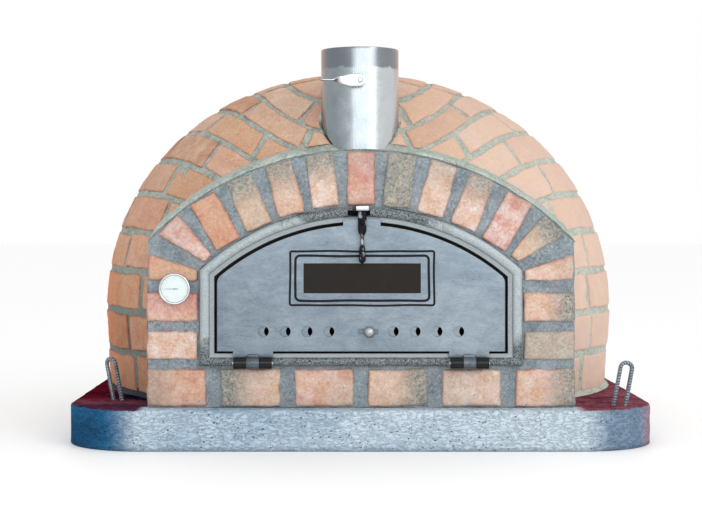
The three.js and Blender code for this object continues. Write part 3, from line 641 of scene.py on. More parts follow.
def slab_top(s):
    """Red oxide, with painted shade: a darker red at the back of its left end, dark purple towards its front
    left, and a near-black painted shadow next to the dome.
    """
    red = s.mix(s.span(s.noise(46, 6, 0.65), 0.3, 0.7), paint(112, 48, 64), paint(180, 110, 124))
    fleck = s.noise(9, 7, 0.76, 0.8, s.stretch(1.0, 0.6, 1.0))
    red = s.mix(s.span(fleck, 0.55, 0.66, 0.0, 0.75), red, paint(206, 132, 146))
    red = s.mix(s.span(fleck, 0.45, 0.35, 0.0, 0.8), red, paint(66, 26, 46))
    # Painted shade: the back of the top's left end is a darker red.
    far_left = s.span(s.x, -0.38, -0.46)
    left_end_shade = s.times(far_left, s.span(s.y, -0.44, -0.33, 0.0, 0.9))
    red = s.mix(left_end_shade, red, s.mix(s.span(fleck, 0.4, 0.6), paint(84, 0, 22), paint(128, 6, 40)))
    # Painted shade: dark purple towards the front left, by the facade's corner.
    violet = s.times(s.span(s.x, -0.28, -0.36), s.span(s.y, -0.40, -0.47, 0.0, 0.75))
    red = s.mix(violet, red, paint(50, 34, 66))
    # Painted shadow: near black on the top next to the dome's left side.
    reach = s.calc("SQRT", s.plus(s.times(s.x, s.x), s.times(s.y, s.y)))
    dome_shadow = s.times(s.span(reach, 0.605, 0.560), s.span(s.x, -0.25, -0.33, 0.0, 0.96))
    dome_shadow = s.times(dome_shadow, s.span(s.y, -0.20, -0.30))
    red = s.mix(dome_shadow, red, paint(12, 14, 42))
    return red


def concrete_material():
    """The slab: a blue coat on its sides and in front of the portal, and a red top elsewhere."""
    s = Shader("slab_concrete")
    side, relief, folds, pits = slab_side(s)
    level = s.plus(s.z, s.span(s.noise(14, 4), 0.3, 0.7, -0.0012, 0.0012))
    apron = s.span(s.y, -0.500, -0.490)
    apron = s.most(apron, s.span(s.apart(s.x), 0.395, 0.41))
    share = s.times(s.span(level, TOP - 0.0022, TOP - 0.0008), apron)
    base = s.mix(share, side, slab_top(s))
    rough = s.span(s.noise(20, 4), 0.3, 0.7, 0.30, 0.58)
    waves = s.bump(relief, 2.3, 0.8)
    fine = s.bump(s.span(folds, 0.0, 0.05), 0.9, 0.8, waves)
    normal = s.bump(pits, -2.4, 1.0, fine)
    return s.finish(Base_Color=base, Roughness=rough, Specular_IOR_Level=0.0, Normal=normal)


def frame_material():
    """Grey cast iron: pale along the sides and shoulders, mottled green-black at the crown and the foot, with
    painted shade, near black, on the faces that run back into the gap.
    """
    s = Shader("frame_cast_iron")
    middle = s.span(s.apart(s.x), 0.19, 0.09)
    high = s.span(s.z, TOP + 0.30, TOP + 0.345)
    low = s.span(s.z, TOP + 0.140, TOP + 0.098)
    dark = s.most(s.times(middle, high), low)
    speck = s.noise(2.6, 5, 0.8)
    patch = s.noise(30, 4, 0.6, 0.6)
    share = s.span(s.plus(dark, s.span(patch, 0.3, 0.7, -0.4, 0.4)), 0.25, 0.85)
    pale = s.mix(s.span(speck, 0.34, 0.60), paint(144, 155, 160), paint(198, 209, 212))
    mottled = s.mix(s.span(speck, 0.42, 0.64), paint(22, 26, 32), paint(170, 182, 186))
    base = s.mix(share, pale, mottled)
    rim = s.span(s.y, FRAME_STEP - 2.2 * MM, FRAME_STEP - 1.0 * MM)
    base = s.mix(rim, base, s.mix(s.span(speck, 0.36, 0.62), paint(140, 150, 156), paint(176, 186, 190)))
    # Painted shade: the faces that run back into the gap round the leaf are near black.
    recess_shade = s.span(s.y, FRAME_STEP + 0.4 * MM, FRAME_STEP + 1.2 * MM)
    base = s.mix(recess_shade, base, paint(16, 18, 26))
    rough = s.most(s.span(speck, 0.35, 0.65, 0.34, 0.6), s.times(recess_shade, 0.85))
    metal = s.span(recess_shade, 0.0, 1.0, 0.5, 0.0)
    waves = s.bump(s.noise(14, 4), 0.8, 0.4)
    return s.finish(Base_Color=base, Metallic=metal, Roughness=rough, Normal=s.bump(speck, 0.35, 0.6, waves))


def leaf_material(name, light=1.0, shade_starts_at=LEAF_FRONT):
    """Satin blue-grey iron, wire brushed, a little lighter to the right as painted light, with painted shade,
    near black, in its recesses and along its edges.
    """
    s = Shader(name)
    streak = s.noise(24, 6, 0.75, 0.6, s.stretch(0.55, 1, 1.7))
    fine = s.noise(2.6, 4, 0.75, 0.0, s.stretch(0.35, 1, 1.5))
    patch = s.noise(120, 4, 0.6, 0.8)
    tone = s.plus(s.times(streak, 0.34), s.times(patch, 0.26))
    tone = s.plus(tone, s.times(fine, 0.4))
    # Painted light: the tone rises a little towards the right, the side the light comes from.
    tone = s.plus(tone, s.span(s.x, -0.25, 0.25, -0.035, 0.035))
    base = s.ramp(tone, (0.36, paint(108 * light, 122 * light, 136 * light)),
                  (0.5, paint(140 * light, 156 * light, 168 * light)),
                  (0.64, paint(172 * light, 186 * light, 196 * light)))
    base = s.mix(s.span(s.noise(5, 5, 0.8), 0.62, 0.74, 0.0, 0.4), base, paint(84, 96, 108))
    # Painted shade: every face set back from the front is near black, in the grooves, holes and the gap round
    # the edge.
    recess_shade = s.span(s.plus(s.y, s.span(streak, 0.3, 0.7, -0.0003, 0.0003)), shade_starts_at + 0.3 * MM,
                    shade_starts_at + 1.2 * MM)
    base = s.mix(recess_shade, base, paint(22, 24, 34))
    behind = s.span(s.y, LEAF_BACK - 0.6 * MM, LEAF_BACK - 0.2 * MM)
    sooty = s.mix(s.span(streak, 0.35, 0.65), paint(62, 60, 58), paint(112, 112, 112))
    base = s.mix(behind, base, sooty)
    barrel = s.times(s.span(s.y, LEAF_FRONT - 2.4 * MM, LEAF_FRONT - 1.2 * MM, 1.0, 0.0),
                    s.span(s.z, HINGE.z + 20 * MM, HINGE.z + 16 * MM))
    base = s.mix(s.times(barrel, s.span(patch, 0.3, 0.6, 0.95, 0.55)), base, paint(26, 28, 36))
    rough = s.most(s.span(fine, 0.3, 0.7, 0.36, 0.58), s.times(recess_shade, 0.8))
    rough = s.calc("SUBTRACT", rough, s.times(barrel, 0.2))
    metal = s.span(recess_shade, 0.0, 1.0, 0.5, 0.0)
    waves = s.bump(streak, 0.5, 0.35)
    return s.finish(Base_Color=base, Metallic=metal, Roughness=rough, Normal=s.bump(fine, 0.18, 0.55, waves))


def steel_material(name, colour, rough_low, rough_high, brushed, depth):
    """Bright steel with fine brushing along one direction, and smudges."""
    s = Shader(name)
    brushing = s.noise(2.2, 3, 0.6, 0.0, s.stretch(*brushed))
    smudge = s.noise(42, 5, 0.65, 0.8)
    base = s.mix(s.span(smudge, 0.35, 0.68), colour, paint(238, 240, 242))
    rough = s.plus(s.span(brushing, 0.3, 0.7, rough_low, rough_high), s.span(smudge, 0.4, 0.7, 0.0, 0.08))
    return s.finish(Base_Color=base, Metallic=1.0, Roughness=rough, Normal=s.bump(brushing, depth, 0.5))


def flue_material():
    """Stainless sheet brushed upright, with a painted shadow down its left, a painted highlight right of
    centre, a polished band round the top darkened as a painted reflection, and painted reflections of the
    warm bricks along its sides.
    """
    s = Shader("flue_stainless")
    brushing = s.noise(1.8, 3, 0.6, 0.0, s.stretch(1, 1, 0.05))
    smudge = s.noise(36, 5, 0.65, 0.8)
    base = s.mix(s.span(smudge, 0.35, 0.68), paint(176, 188, 194), paint(206, 214, 218))
    across = s.calc("DIVIDE", s.x, FLUE_RADIUS)
    shadow = s.span(across, -0.30, -0.62)
    base = s.mix(s.times(shadow, 0.55), base, paint(126, 138, 146))
    # Painted highlight: a broad bright band right of centre.
    base = s.mix(s.span(across, 0.15, 0.55, 0.0, 0.7), base, paint(244, 248, 250))
    # A darker band at the top: a polished band shown with a painted reflection, left bright where the
    # highlight crosses it.
    edge = s.plus(s.z, s.span(s.noise(12, 3), 0.3, 0.7, -0.003, 0.003))
    mouth = s.span(edge, FLUE_HIGH.z - 40 * MM, FLUE_HIGH.z - 36 * MM)
    mouth = s.times(mouth, s.span(s.apart(across, 0.1), 0.16, 0.34, 0.12, 0.8))
    base = s.mix(mouth, base, paint(126, 134, 142))
    # Painted reflection: the warm bricks seen along the pipe's sides.
    brick_reflection = s.span(s.apart(across), 0.82, 0.97)
    brick_reflection = s.times(brick_reflection, s.span(s.z, TOP + 0.5, TOP + 0.62, 0.15, 0.5))
    base = s.mix(brick_reflection, base, paint(216, 150, 112))
    rough = s.plus(s.span(brushing, 0.3, 0.7, 0.2, 0.32), s.span(smudge, 0.4, 0.7, 0.0, 0.08))
    return s.finish(Base_Color=base, Metallic=1.0, Roughness=rough, Normal=s.bump(brushing, 0.05, 0.5))


def dark_material(name, colour, rough_low, rough_high, worn=0.2, specular=0.5):
    """Dark paint, glass or iron with dust in its roughness and slightly worn patches."""
    s = Shader(name)
    dust = s.noise(22, 5, 0.65)
    base = s.mix(s.span(dust, 0.5, 0.8, 0.0, worn), colour, paint(110, 106, 100))
    fine = s.noise(2.0, 4, 0.7)
    rough = s.span(dust, 0.3, 0.7, rough_low, rough_high)
    return s.finish(Base_Color=base, Roughness=rough, Specular_IOR_Level=specular,
          Normal=s.bump(fine, 0.12, 0.5))


def forged_material():
    """Hand-forged lever steel: black scale with bright patches, partly worn and partly painted highlights."""
    s = Shader("latch_steel")
    wear_and_highlight = s.span(s.noise(16, 4, 0.62, 0.4), 0.53, 0.65)
    base = s.mix(wear_and_highlight, paint(16, 16, 26), paint(158, 162, 168))
    rough = s.span(wear_and_highlight, 0.0, 1.0, 0.42, 0.22)
    return s.finish(Base_Color=base, Metallic=0.8, Roughness=rough, Normal=s.bump(s.noise(5, 4), 0.5, 0.6))


def rebar_material():
    """Zinc-grey ribbed bar, dark in the hollows between its ribs, with violet-brown rust blooms."""
    s = Shader("loop_rebar")
    rust = s.span(s.noise(14, 6, 0.7), 0.52, 0.66)
    base = s.mix(s.span(s.noise(4, 4), 0.35, 0.65), paint(150, 168, 182), paint(206, 220, 230))
    base = s.mix(s.times(rust, 0.6), base, paint(110, 82, 100))
    hollow = s.attribute("hollow")
    base = s.mix(s.times(hollow, 0.85), base, paint(40, 40, 62))
    rough = s.span(s.noise(6, 4), 0.3, 0.7, 0.30, 0.52)
    normal = s.bump(s.noise(1.8, 4), 0.25, 0.6)
    return s.finish(Base_Color=base, Metallic=0.35, Roughness=rough, Normal=normal)


def refractory_material(name, joints):
    """Cream firebrick, sooted higher up, with tile joints where the piece is laid from tiles."""
    s = Shader(name)
    base = s.mix(s.span(s.noise(40, 5, 0.6), 0.3, 0.7), paint(206, 178, 140), paint(232, 212, 180))
    soot = s.span(s.z, TOP + 0.16, TOP + 0.44)
    soot = s.times(soot, s.span(s.noise(70, 5, 0.7, 0.8), 0.22, 0.6))
    soot = s.most(soot, s.span(s.y, -0.43, -0.475, 0.0, 0.95))
    base = s.mix(soot, base, paint(54, 48, 44))
    grain = s.noise(2.2, 4, 0.75)
    base = s.mix(0.4, base, s.ramp(grain, (0.3, 0.24), (0.7, 0.62)), "OVERLAY")
    normal = s.bump(grain, 0.6, 0.6)
    if joints:
        tiles = s.tree.nodes.new("ShaderNodeTexBrick")
        s.put(tiles.inputs["Vector"], s.place)
        sizes = {"Scale": 1.0, "Mortar Size": 1.6 * MM, "Brick Width": 200 * MM, "Row Height": 200 * MM}
        for key, value in sizes.items():
            tiles.inputs[key].default_value = value
        tiles.offset = 0.0
        base = s.mix(tiles.outputs["Fac"], base, paint(92, 80, 68))
        normal = s.bump(tiles.outputs["Fac"], -1.5, 1.0, normal)
    return s.finish(Base_Color=base, Roughness=s.span(grain, 0.3, 0.7, 0.8, 0.97), Normal=normal)


def insulation_material():
    s = Shader("fibre_insulation")
    fibre = s.noise(6, 6, 0.8, 2.5, s.stretch(1, 1, 3))
    base = s.mix(s.span(fibre, 0.35, 0.65), paint(214, 208, 196), paint(246, 243, 236))
    rough = s.span(fibre, 0.3, 0.7, 0.9, 1.0)
    return s.finish(Base_Color=base, Roughness=rough, Normal=s.bump(fibre, 1.5, 0.7))


def enamel_material():
    s = Shader("dial_enamel")
    cloud = s.noise(9, 3)
    base = s.mix(s.span(cloud, 0.4, 0.7, 0.0, 0.5), paint(242, 253, 252), paint(224, 240, 242))
    rough = s.span(cloud, 0.3, 0.7, 0.28, 0.42)
    return s.finish(Base_Color=base, Roughness=rough, Normal=s.bump(s.noise(1.2, 2), 0.02, 0.3))


DOME_BRICK = brick_material(
    "dome_clay_brick",
    colours=[(0.0, paint(208, 156, 126)), (0.3, paint(222, 172, 140)), (0.55, paint(230, 186, 154)),
             (0.8, paint(236, 196, 168)), (1.0, paint(226, 172, 148))],
    bloom_colour=paint(246, 228, 212), sand_colour=paint(226, 180, 132), dark_fleck_and_rim_shade=paint(150, 92, 66),
    soot_colour=paint(130, 124, 116), dome=True)
FACING_BRICK = brick_material(
    "facing_clay_brick",
    colours=[(0.0, paint(214, 138, 126)), (0.22, paint(224, 160, 132)), (0.45, paint(226, 178, 148)),
             (0.7, paint(220, 186, 158)), (1.0, paint(202, 188, 168))],
    bloom_colour=paint(250, 238, 233), sand_colour=paint(224, 188, 150), dark_fleck_and_rim_shade=paint(140, 92, 84),
    soot_colour=paint(112, 114, 106), dome=False)
DOME_MORTAR = mortar_material(
    "dome_mortar", dark=paint(156, 166, 158), light=paint(198, 208, 198), lime_colour=paint(220, 226, 218),
    warm=paint(212, 192, 170), crack_colour=paint(104, 112, 106), dome=True)
FILLET_MORTAR = mortar_material(
    "fillet_mortar", dark=paint(170, 186, 178), light=paint(208, 220, 210), lime_colour=paint(226, 232, 224),
    warm=paint(212, 198, 178), crack_colour=paint(96, 106, 104), dome=False)
FACADE_MORTAR = mortar_material(
    "facade_mortar_grey", dark=paint(124, 138, 146), light=paint(168, 180, 186), warm=paint(160, 152, 148),
    lime_colour=paint(198, 208, 214), crack_colour=paint(70, 80, 94), dome=False)
CONCRETE = concrete_material()
FRAME_IRON = frame_material()
LEAF_IRON = leaf_material("leaf_cast_iron")
SLIDER_IRON = leaf_material("slider_iron", 0.98, -515 * MM)
KNOB_STEEL = steel_material("knob_steel", paint(150, 152, 156), 0.26, 0.40, (1.0, 1.0, 1.0), 0.03)
LEAF_BACK_IRON = leaf_material("retainer_iron", 0.7, 0.0)
LATCH_STEEL = forged_material()
TICK_PAINT = dark_material("tick_paint", paint(196, 204, 208), 0.3, 0.4)
BLACK_STEEL = dark_material("black_steel", paint(3, 3, 7), 0.06, 0.14, worn=0.02, specular=0.3)
WINDOW_PANEL = dark_material("window_ceramic", paint(44, 40, 38), 0.4, 0.55, worn=0.06, specular=0.08)
# Matt black standing in for shade in the catch's pocket.
SHADE_BLACK = dark_material("painted_shade_black", paint(3, 3, 6), 0.8, 0.95, worn=0.03, specular=0.1)
NEEDLE_PAINT = dark_material("needle_paint", paint(150, 176, 186), 0.35, 0.5)
STAINLESS = flue_material()
BRIGHT_STEEL = steel_material("bright_steel", paint(196, 200, 206), 0.16, 0.34, (0.3, 0.3, 1.0), 0.08)
BEZEL_CHROME = steel_material("bezel_chrome", paint(222, 224, 228), 0.05, 0.14, (1.0, 1.0, 1.0), 0.02)
REBAR = rebar_material()
REFRACTORY = refractory_material("cast_refractory", False)
HEARTH_TILE = refractory_material("hearth_tile", True)
INSULATION = insulation_material()
ENAMEL = enamel_material()


# ---------------------------------------------------------------- slab and lifting loops

def slab_ring(inset, height, count=480):
    """A rounded rectangle round the slab, evenly spaced."""
    half_x = (SLAB_HIGH.x - SLAB_LOW.x) / 2 - inset
    half_y = (SLAB_HIGH.y - SLAB_LOW.y) / 2 - inset
    radius = max(SLAB_CORNER - inset, 5 * MM)
    corners = [(sx * (half_x - radius) + radius * out_x, sy * (half_y - radius) + radius * out_y)
               for (sx, sy), (out_x, out_y) in rounded_corners(30)]
    corners = np.array(corners + [corners[0]])
    lengths = run_lengths(corners)
    at = np.linspace(0, lengths[-1], count, endpoint=False)
    return [(np.interp(s, lengths, corners[:, 0]), np.interp(s, lengths, corners[:, 1]), height) for s in at]


def make_slab():
    """A slab with rounded corners and softened edges, built from rings that run under, up and over it."""
    edge = 7 * MM
    rings = []
    for inset in (470, 380, 300, 220, 140, 80, 40, 18, 9):
        rings.append(slab_ring(inset * MM, SLAB_LOW.z))
    for step in range(5):
        angle = math.radians(90 * step / 4)
        rings.append(slab_ring(3 * MM * (1 - math.sin(angle)), SLAB_LOW.z + 3 * MM * (1 - math.cos(angle))))
    for height in np.linspace(6 * MM, TOP - edge, 18)[1:]:
        rings.append(slab_ring(0, height))
    for step in range(1, 7):
        angle = math.radians(90 * step / 6)
        rings.append(slab_ring(edge * (1 - math.cos(angle)), TOP - edge + edge * math.sin(angle)))
    for inset in np.linspace(12, 240, 58):
        rings.append(slab_ring(inset * MM, TOP))
    rings.append(slab_ring(470 * MM, TOP))
    verts, faces = loft(rings)
    points = np.array(verts)
    level = np.clip(points[:, 2] / (6 * MM), 0, 1)[:, None]
    flat = np.clip((TOP - points[:, 2]) / (3 * MM), 0.35, 1)[:, None]
    shift = 1.3 * MM * wander(points, 0.055, 3) + 0.8 * MM * wander(points, 0.019, 7)
    points = points + shift * level * flat
    add_piece("slab", points, faces, CONCRETE, "root", ["base_slab"], "concrete", sharp=50)


LOOP_SPACING = 22 * MM
LOOP_HEIGHT = 85 * MM
LOOP_DEPTH = 33 * MM
LOOP_LEAN = 10.5
ROD_RADIUS = 4 * MM
# The foot's place and its turn in degrees, for the left and the right side.
LOOP_SPOTS = {-1: (-465 * MM, 378 * MM, 54), 1: (482 * MM, 470 * MM, 86)}


def bar_along(path, radius, sides=18):
    """A ribbed bar that follows a path of points. Its slanting ribs and two long seams stand proud."""
    path = np.array(path, float)
    lengths = run_lengths(path)
    count = int(lengths[-1] / (0.8 * MM))
    at = np.linspace(0, lengths[-1], count)
    centres = np.stack([np.interp(at, lengths, path[:, i]) for i in range(3)], axis=1)
    ahead = np.gradient(centres, axis=0)
    ahead /= np.linalg.norm(ahead, axis=1, keepdims=True)
    side = np.array((0.913, 0.311, 0.265))
    rings = []
    hollow = []
    for centre, way, s in zip(centres, ahead, at):
        side = side - way * side.dot(way)
        side /= np.linalg.norm(side)
        across = np.cross(way, side)
        ring = []
        for j in range(sides):
            angle = 2 * math.pi * j / sides
            phase = (s / (5.2 * MM) + 0.9 * math.sin(angle)) % 1.0
            rib = max(0.0, 1 - abs(phase - 0.5) / 0.26) * abs(math.sin(angle)) ** 0.4
            seam = math.exp(-(math.sin(angle) / 0.25) ** 2)
            proud = max(rib, 0.8 * seam)
            reach = radius * (0.84 + 0.18 * proud)
            hollow.append(1 - min(1.6 * proud, 1))
            ring.append(centre + reach * (math.cos(angle) * side + math.sin(angle) * across))
        rings.append(ring)
    return (*loft(rings), hollow)


def make_loop(name, node):
    """A lifting loop of ribbed bar: two legs cast into the slab and a round bend above it."""
    low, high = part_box(node)
    sx, sy = math.copysign(1, low.x + high.x), math.copysign(1, low.y + high.y)
    foot_x, foot_y, turn = LOOP_SPOTS[sx]
    half = LOOP_SPACING / 2
    spring = LOOP_HEIGHT - half - ROD_RADIUS
    path = [(0, -half, -LOOP_DEPTH), (0, -half, spring)]
    path += [(0, -half * math.cos(a), spring + half * math.sin(a)) for a in np.linspace(0, math.pi, 24)[1:-1]]
    path += [(0, half, spring), (0, half, -LOOP_DEPTH)]
    stand = Matrix.Translation((foot_x, sy * foot_y, TOP))
    tilt = Matrix.Rotation(math.radians(LOOP_LEAN) * sx, 4, "Y")
    spin = Matrix.Rotation(math.radians(turn) * sx * sy, 4, "Z")
    matrix = stand @ tilt @ spin
    verts, faces, hollow = bar_along([matrix @ Vector(point) for point in path], ROD_RADIUS + 0.3 * MM)
    add_piece(name, verts, faces, REBAR, "root", [node], "rebar", {"hollow": hollow}, 60)


make_slab()
for loop_name in ("front_left", "front_right", "rear_left", "rear_right"):
    make_loop("loop_" + loop_name, "lifting_loop_" + loop_name)


# ---------------------------------------------------------------- dome bricks and mortar

JOINT = 12 * MM
BRICK_SPAN = 215 * MM
BRICK_DEPTH = 26 * MM
PORTAL_CLEARANCE = 19 * MM
UPRIGHT_JOINTS = [(-79, 79), (-59, 60), (-78, 80), (-64, 61), (-77, 76), (-55, 55), (-44, 47), (-29, 30),
                  (-48, 42), (-22, 18), (-60, 50)]


def portal_cutter(grow):
    """The portal's outline, reaching well in front of it."""
    shape = arch_prism(ARCH_HALF_WIDTH + grow, TOP - 20 * MM, ARCH_OUTER + grow, -750 * MM, ARCH_BACK)
    return loose_object("portal_cutter", *shape)


def flue_cutter(grow):
    """An upright cylinder round the flue, reaching well above and below the dome's skin."""
    low, high, radius = 350 * MM, 900 * MM, FLUE_RADIUS + grow
    profile = [(0, low), (radius, low), (radius, high), (0, high)]
    return loose_object("flue_cutter", *lathe(profile, 96, centre=(0, FLUE_Y, 0)))


def rim_shade_share(local, half):
    """One at the rim of a brick's face and zero a few millimetres in from it: the mask for the painted shade
    along each rim.
    """
    inward = (half[:2] - np.abs(local[:, :2])).min(axis=1)
    return np.clip(1 - inward / (5 * MM), 0, 1)


def dome_brick(template, row, ring, start, end, seed):
    """Points of one brick whose face lies on the dome, between two distances along its course."""
    at, angles = ring
    low, high = row * COURSE_PITCH + JOINT / 2, (row + 1) * COURSE_PITCH - JOINT / 2
    half = np.array(((end - start) / 2, (high - low) / 2, BRICK_DEPTH / 2))
    rounding = RNG.uniform(3, 4.5) * MM
    local = rounded_block(template, half, rounding)
    edge = rim_shade_share(local, half)
    coarse = np.array((2.6, 2.4, 1.1)) * MM
    fine = np.array((1.1, 1.1, 0.6)) * MM
    local = local + coarse * wander(local, 0.034, seed) + fine * wander(local, 0.010, seed + 5)
    chip_corner = half * RNG.choice((-1, 1), 3) * (1, 1, 0) + (0, 0, half[2])
    away = np.linalg.norm(local - chip_corner, axis=1)
    chip = RNG.uniform(6, 22) * MM
    local[:, 2] -= np.clip(1 - away / chip, 0, 1) ** 0.7 * RNG.uniform(1, 6) * MM * (RNG.random() < 0.45)
    tilt = RNG.normal(0, 0.007, 3)
    local[:, 1] += local[:, 0] * tilt[0]
    local[:, 2] += local[:, 0] * tilt[1] + local[:, 1] * tilt[2]
    proud = RNG.normal(0, 0.45 * MM)
    angle = np.interp((start + end) / 2 + local[:, 0], at, angles)
    return ring_place(angle, (low + high) / 2 + local[:, 1], local[:, 2] - half[2] + proud), edge


def brick_values(edge):
    tone, shade = RNG.beta(2.2, 2.2), RNG.random() ** 3
    bloom = RNG.random() ** 2.5 * 0.8
    same = np.ones(len(edge))
    return {"tone": tone * same, "shade": shade * same, "bloom": bloom * same, "soot": 0 * same, "edge": edge}


def gather(pieces):
    """Joins bricks, each (points, faces, values), into one set of arrays."""
    verts, faces, values = [], [], {}
    start = 0
    for points, its_faces, its_values in pieces:
        verts.extend(points)
        faces.extend(tuple(start + i for i in face) for face in its_faces)
        start += len(points)
        for key, data in its_values.items():
            values.setdefault(key, []).extend(data)
    return verts, faces, values


def spread(start, end, span):
    """Edges of bricks between two distances, near the usual length with some variation."""
    count = max(round((end - start) / span), 1)
    share = np.maximum(RNG.normal(1, 0.06, count), 0.8)
    return start + np.concatenate([[0], np.cumsum(share / share.sum())]) * (end - start)


def dome_row(row, left_joint, right_joint):
    """One course of bricks with upright joints at two given angles, the rest spaced evenly between them."""
    angles = np.linspace(math.radians(left_joint), math.radians(left_joint) + 2 * math.pi, 721)
    points = ring_place(angles, np.full(721, (row + 0.5) * COURSE_PITCH), 0 * angles)
    at = run_lengths(points)
    right = np.interp(math.radians(right_joint), angles, at)
    edges = np.concatenate([spread(0, right, BRICK_SPAN), spread(right, at[-1], BRICK_SPAN)[1:]])
    template, faces = block_template(48, 18, 6)
    pieces = []
    for i, (start, end) in enumerate(zip(edges, edges[1:])):
        gap = RNG.uniform(9, 15) * MM / 2
        points, edge = dome_brick(template, row, (at, angles), start + gap, end - gap, 40 * row + i)
        if not buried(points):
            pieces.append((points, faces, brick_values(edge)))
    return gather(pieces)


def buried(points):
    """True where a brick would lie wholly inside the portal."""
    x, y, z = np.abs(points.T)
    inside = (x < ARCH_HALF_WIDTH) & (points[:, 1] < ARCH_BACK)
    return bool(np.all(inside & (np.hypot(x, z - ARCH_CENTRE) < ARCH_OUTER)))


def dome_plug():
    template, faces = block_template(16, 16, 5)
    reach = (DOME_LENGTH - ROWS * COURSE_PITCH - JOINT / 2) * 0.88
    local = rounded_block(template, (reach, reach, BRICK_DEPTH / 2), 6 * MM)
    local = local + 1.2 * MM * wander(local, 0.02, 9)
    angle = np.arctan2(local[:, 0], -local[:, 1])
    height = DOME_LENGTH - np.hypot(local[:, 0], local[:, 1])
    points = ring_place(angle, height, local[:, 2] - BRICK_DEPTH / 2)
    return gather([(points, faces, brick_values(np.zeros(len(local))))])


def cut_piece(name, shape, cutters, material, nodes, sharp):
    mesh = boolean(new_mesh(name, *shape), cutters)
    add_mesh(name, mesh, material, "root", nodes, sharp)


def make_dome():
    """The dome's courses of bricks and the plug at its crown, cut back round the portal and the flue."""
    cutters = [portal_cutter(PORTAL_CLEARANCE), flue_cutter(4 * MM)]
    for row, joints in enumerate(UPRIGHT_JOINTS):
        node = f"dome_course_{row + 1}" if row < CAD_COURSES else "dome_cap"
        shape = dome_row(row, *joints)
        cut_piece(f"dome_row_{row + 1}", shape, cutters, DOME_BRICK, [node], 50)
    cut_piece("dome_plug", dome_plug(), cutters, DOME_BRICK, ["dome_cap"], 50)
    drop(*cutters)


def mortar_shell():
    """The mortar bed between the dome bricks, a few millimetres behind their faces."""
    rows, columns = 260, 760
    lengths = np.linspace(0, DOME_LENGTH, rows + 1)[:-1]
    angles = np.linspace(0, 2 * math.pi, columns, endpoint=False)
    grid_s, grid_a = np.meshgrid(lengths, angles, indexing="ij")
    flat = dome_place(grid_a.ravel(), grid_s.ravel(), np.zeros(grid_s.size))
    out = (-2.4 + 1.0 * lattice_noise(flat, 0.024, 1) + 0.7 * lattice_noise(flat, 0.009, 2)) * MM
    outer = dome_place(grid_a.ravel(), grid_s.ravel(), out)
    crown = np.array([[0, 0, TOP + DOME_FOOT_HEIGHT + DOME_RISE - 4 * MM]])
    inner_lengths = np.linspace(0, DOME_LENGTH, 40)[:-1]
    inner_s, inner_a = np.meshgrid(inner_lengths, angles, indexing="ij")
    inner = dome_place(inner_a.ravel(), inner_s.ravel(), np.full(inner_s.size, -30 * MM))
    inner_crown = np.array([[0, 0, TOP + DOME_FOOT_HEIGHT + DOME_RISE - 30 * MM]])
    verts = np.concatenate([outer, crown, inner, inner_crown])
    start = len(outer) + 1
    faces = grid_faces(rows, columns) + grid_faces(39, columns, offset=start)
    for j in range(columns):
        k = (j + 1) % columns
        faces.append(((rows - 1) * columns + j, (rows - 1) * columns + k, len(outer)))
        faces.append((start + 38 * columns + j, start + 38 * columns + k, len(verts) - 1))
        faces.append((j, k, start + k, start + j))
    cutters = [portal_cutter(4 * MM), flue_cutter(0.3 * MM)]
    cut_piece("dome_mortar", (verts, faces, {}), cutters, DOME_MORTAR, [], 60)
    drop(*cutters)


make_dome()
mortar_shell()


# ---------------------------------------------------------------- portal bricks and mortar

def outline_corners(node):
    """The four corners of a brick's face in x and z, anticlockwise from the lower left."""
    spots = {(round(v.co.x, 5), round(v.co.z, 5)) for v in NODES[node].data.vertices}
    corners = np.array(sorted(spots))
    middle = corners.mean(axis=0)
    angles = np.arctan2(corners[:, 1] - middle[1], corners[:, 0] - middle[0])
    return corners[np.argsort(angles)]


def soot_share(points, corners, side):
    """How sooted each point of a brick is, rising towards one of its ends."""
    across = (points[:, 0] - corners[:, 0].min()) / np.ptp(corners[:, 0])
    radius = np.hypot(points[:, 0], points[:, 2] - ARCH_CENTRE)
    corner_radius = np.hypot(corners[:, 0], corners[:, 1] - ARCH_CENTRE)
    outward = (radius - corner_radius.min()) / np.ptp(corner_radius)
    at = {"left": 1 - across, "right": across, "outer": outward, "all": np.full(len(points), 0.9)}[side]
    return np.clip((at - 0.42) / 0.40, 0, 1)


def facing_brick(node, look):
    tone, burnt, bloom, soot, soot_side = look
    low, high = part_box(node)
    corners = outline_corners(node)
    sides = np.roll(corners, -1, axis=0) - corners
    widths = np.linalg.norm(sides, axis=1)
    half = np.array(((widths[0] + widths[2]) / 4, (widths[1] + widths[3]) / 4, (high.y - low.y) / 2))
    template, faces = block_template(*(max(int(2 * size / (3.6 * MM)), 8) for size in half))
    local = rounded_block(template, half, RNG.uniform(4, 6.5) * MM)
    u, v = (local[:, :2] / half[:2] + 1).T / 2
    weights = np.stack([(1 - u) * (1 - v), u * (1 - v), u * v, (1 - u) * v], axis=1)
    flat = weights @ corners
    points = np.stack([flat[:, 0], (low.y + high.y) / 2 + local[:, 2], flat[:, 1]], axis=1)
    seed = list(FACING_LOOKS).index(node) * 7 + 300
    coarse = np.array((1.5, 1.0, 1.5)) * MM
    points += coarse * wander(points, 0.026, seed) + 0.7 * MM * wander(points, 0.008, seed + 3)
    points[:, 1] += RNG.normal(0, 0.5 * MM)
    same = np.ones(len(points))
    values = {"tone": tone * same, "shade": burnt * same, "bloom": bloom * same,
              "edge": rim_shade_share(local, half), "soot": soot * soot_share(points, corners, soot_side)}
    add_piece(node + "_clay", points, faces, FACING_BRICK, "root", [node], "facing_brick", values, 50)


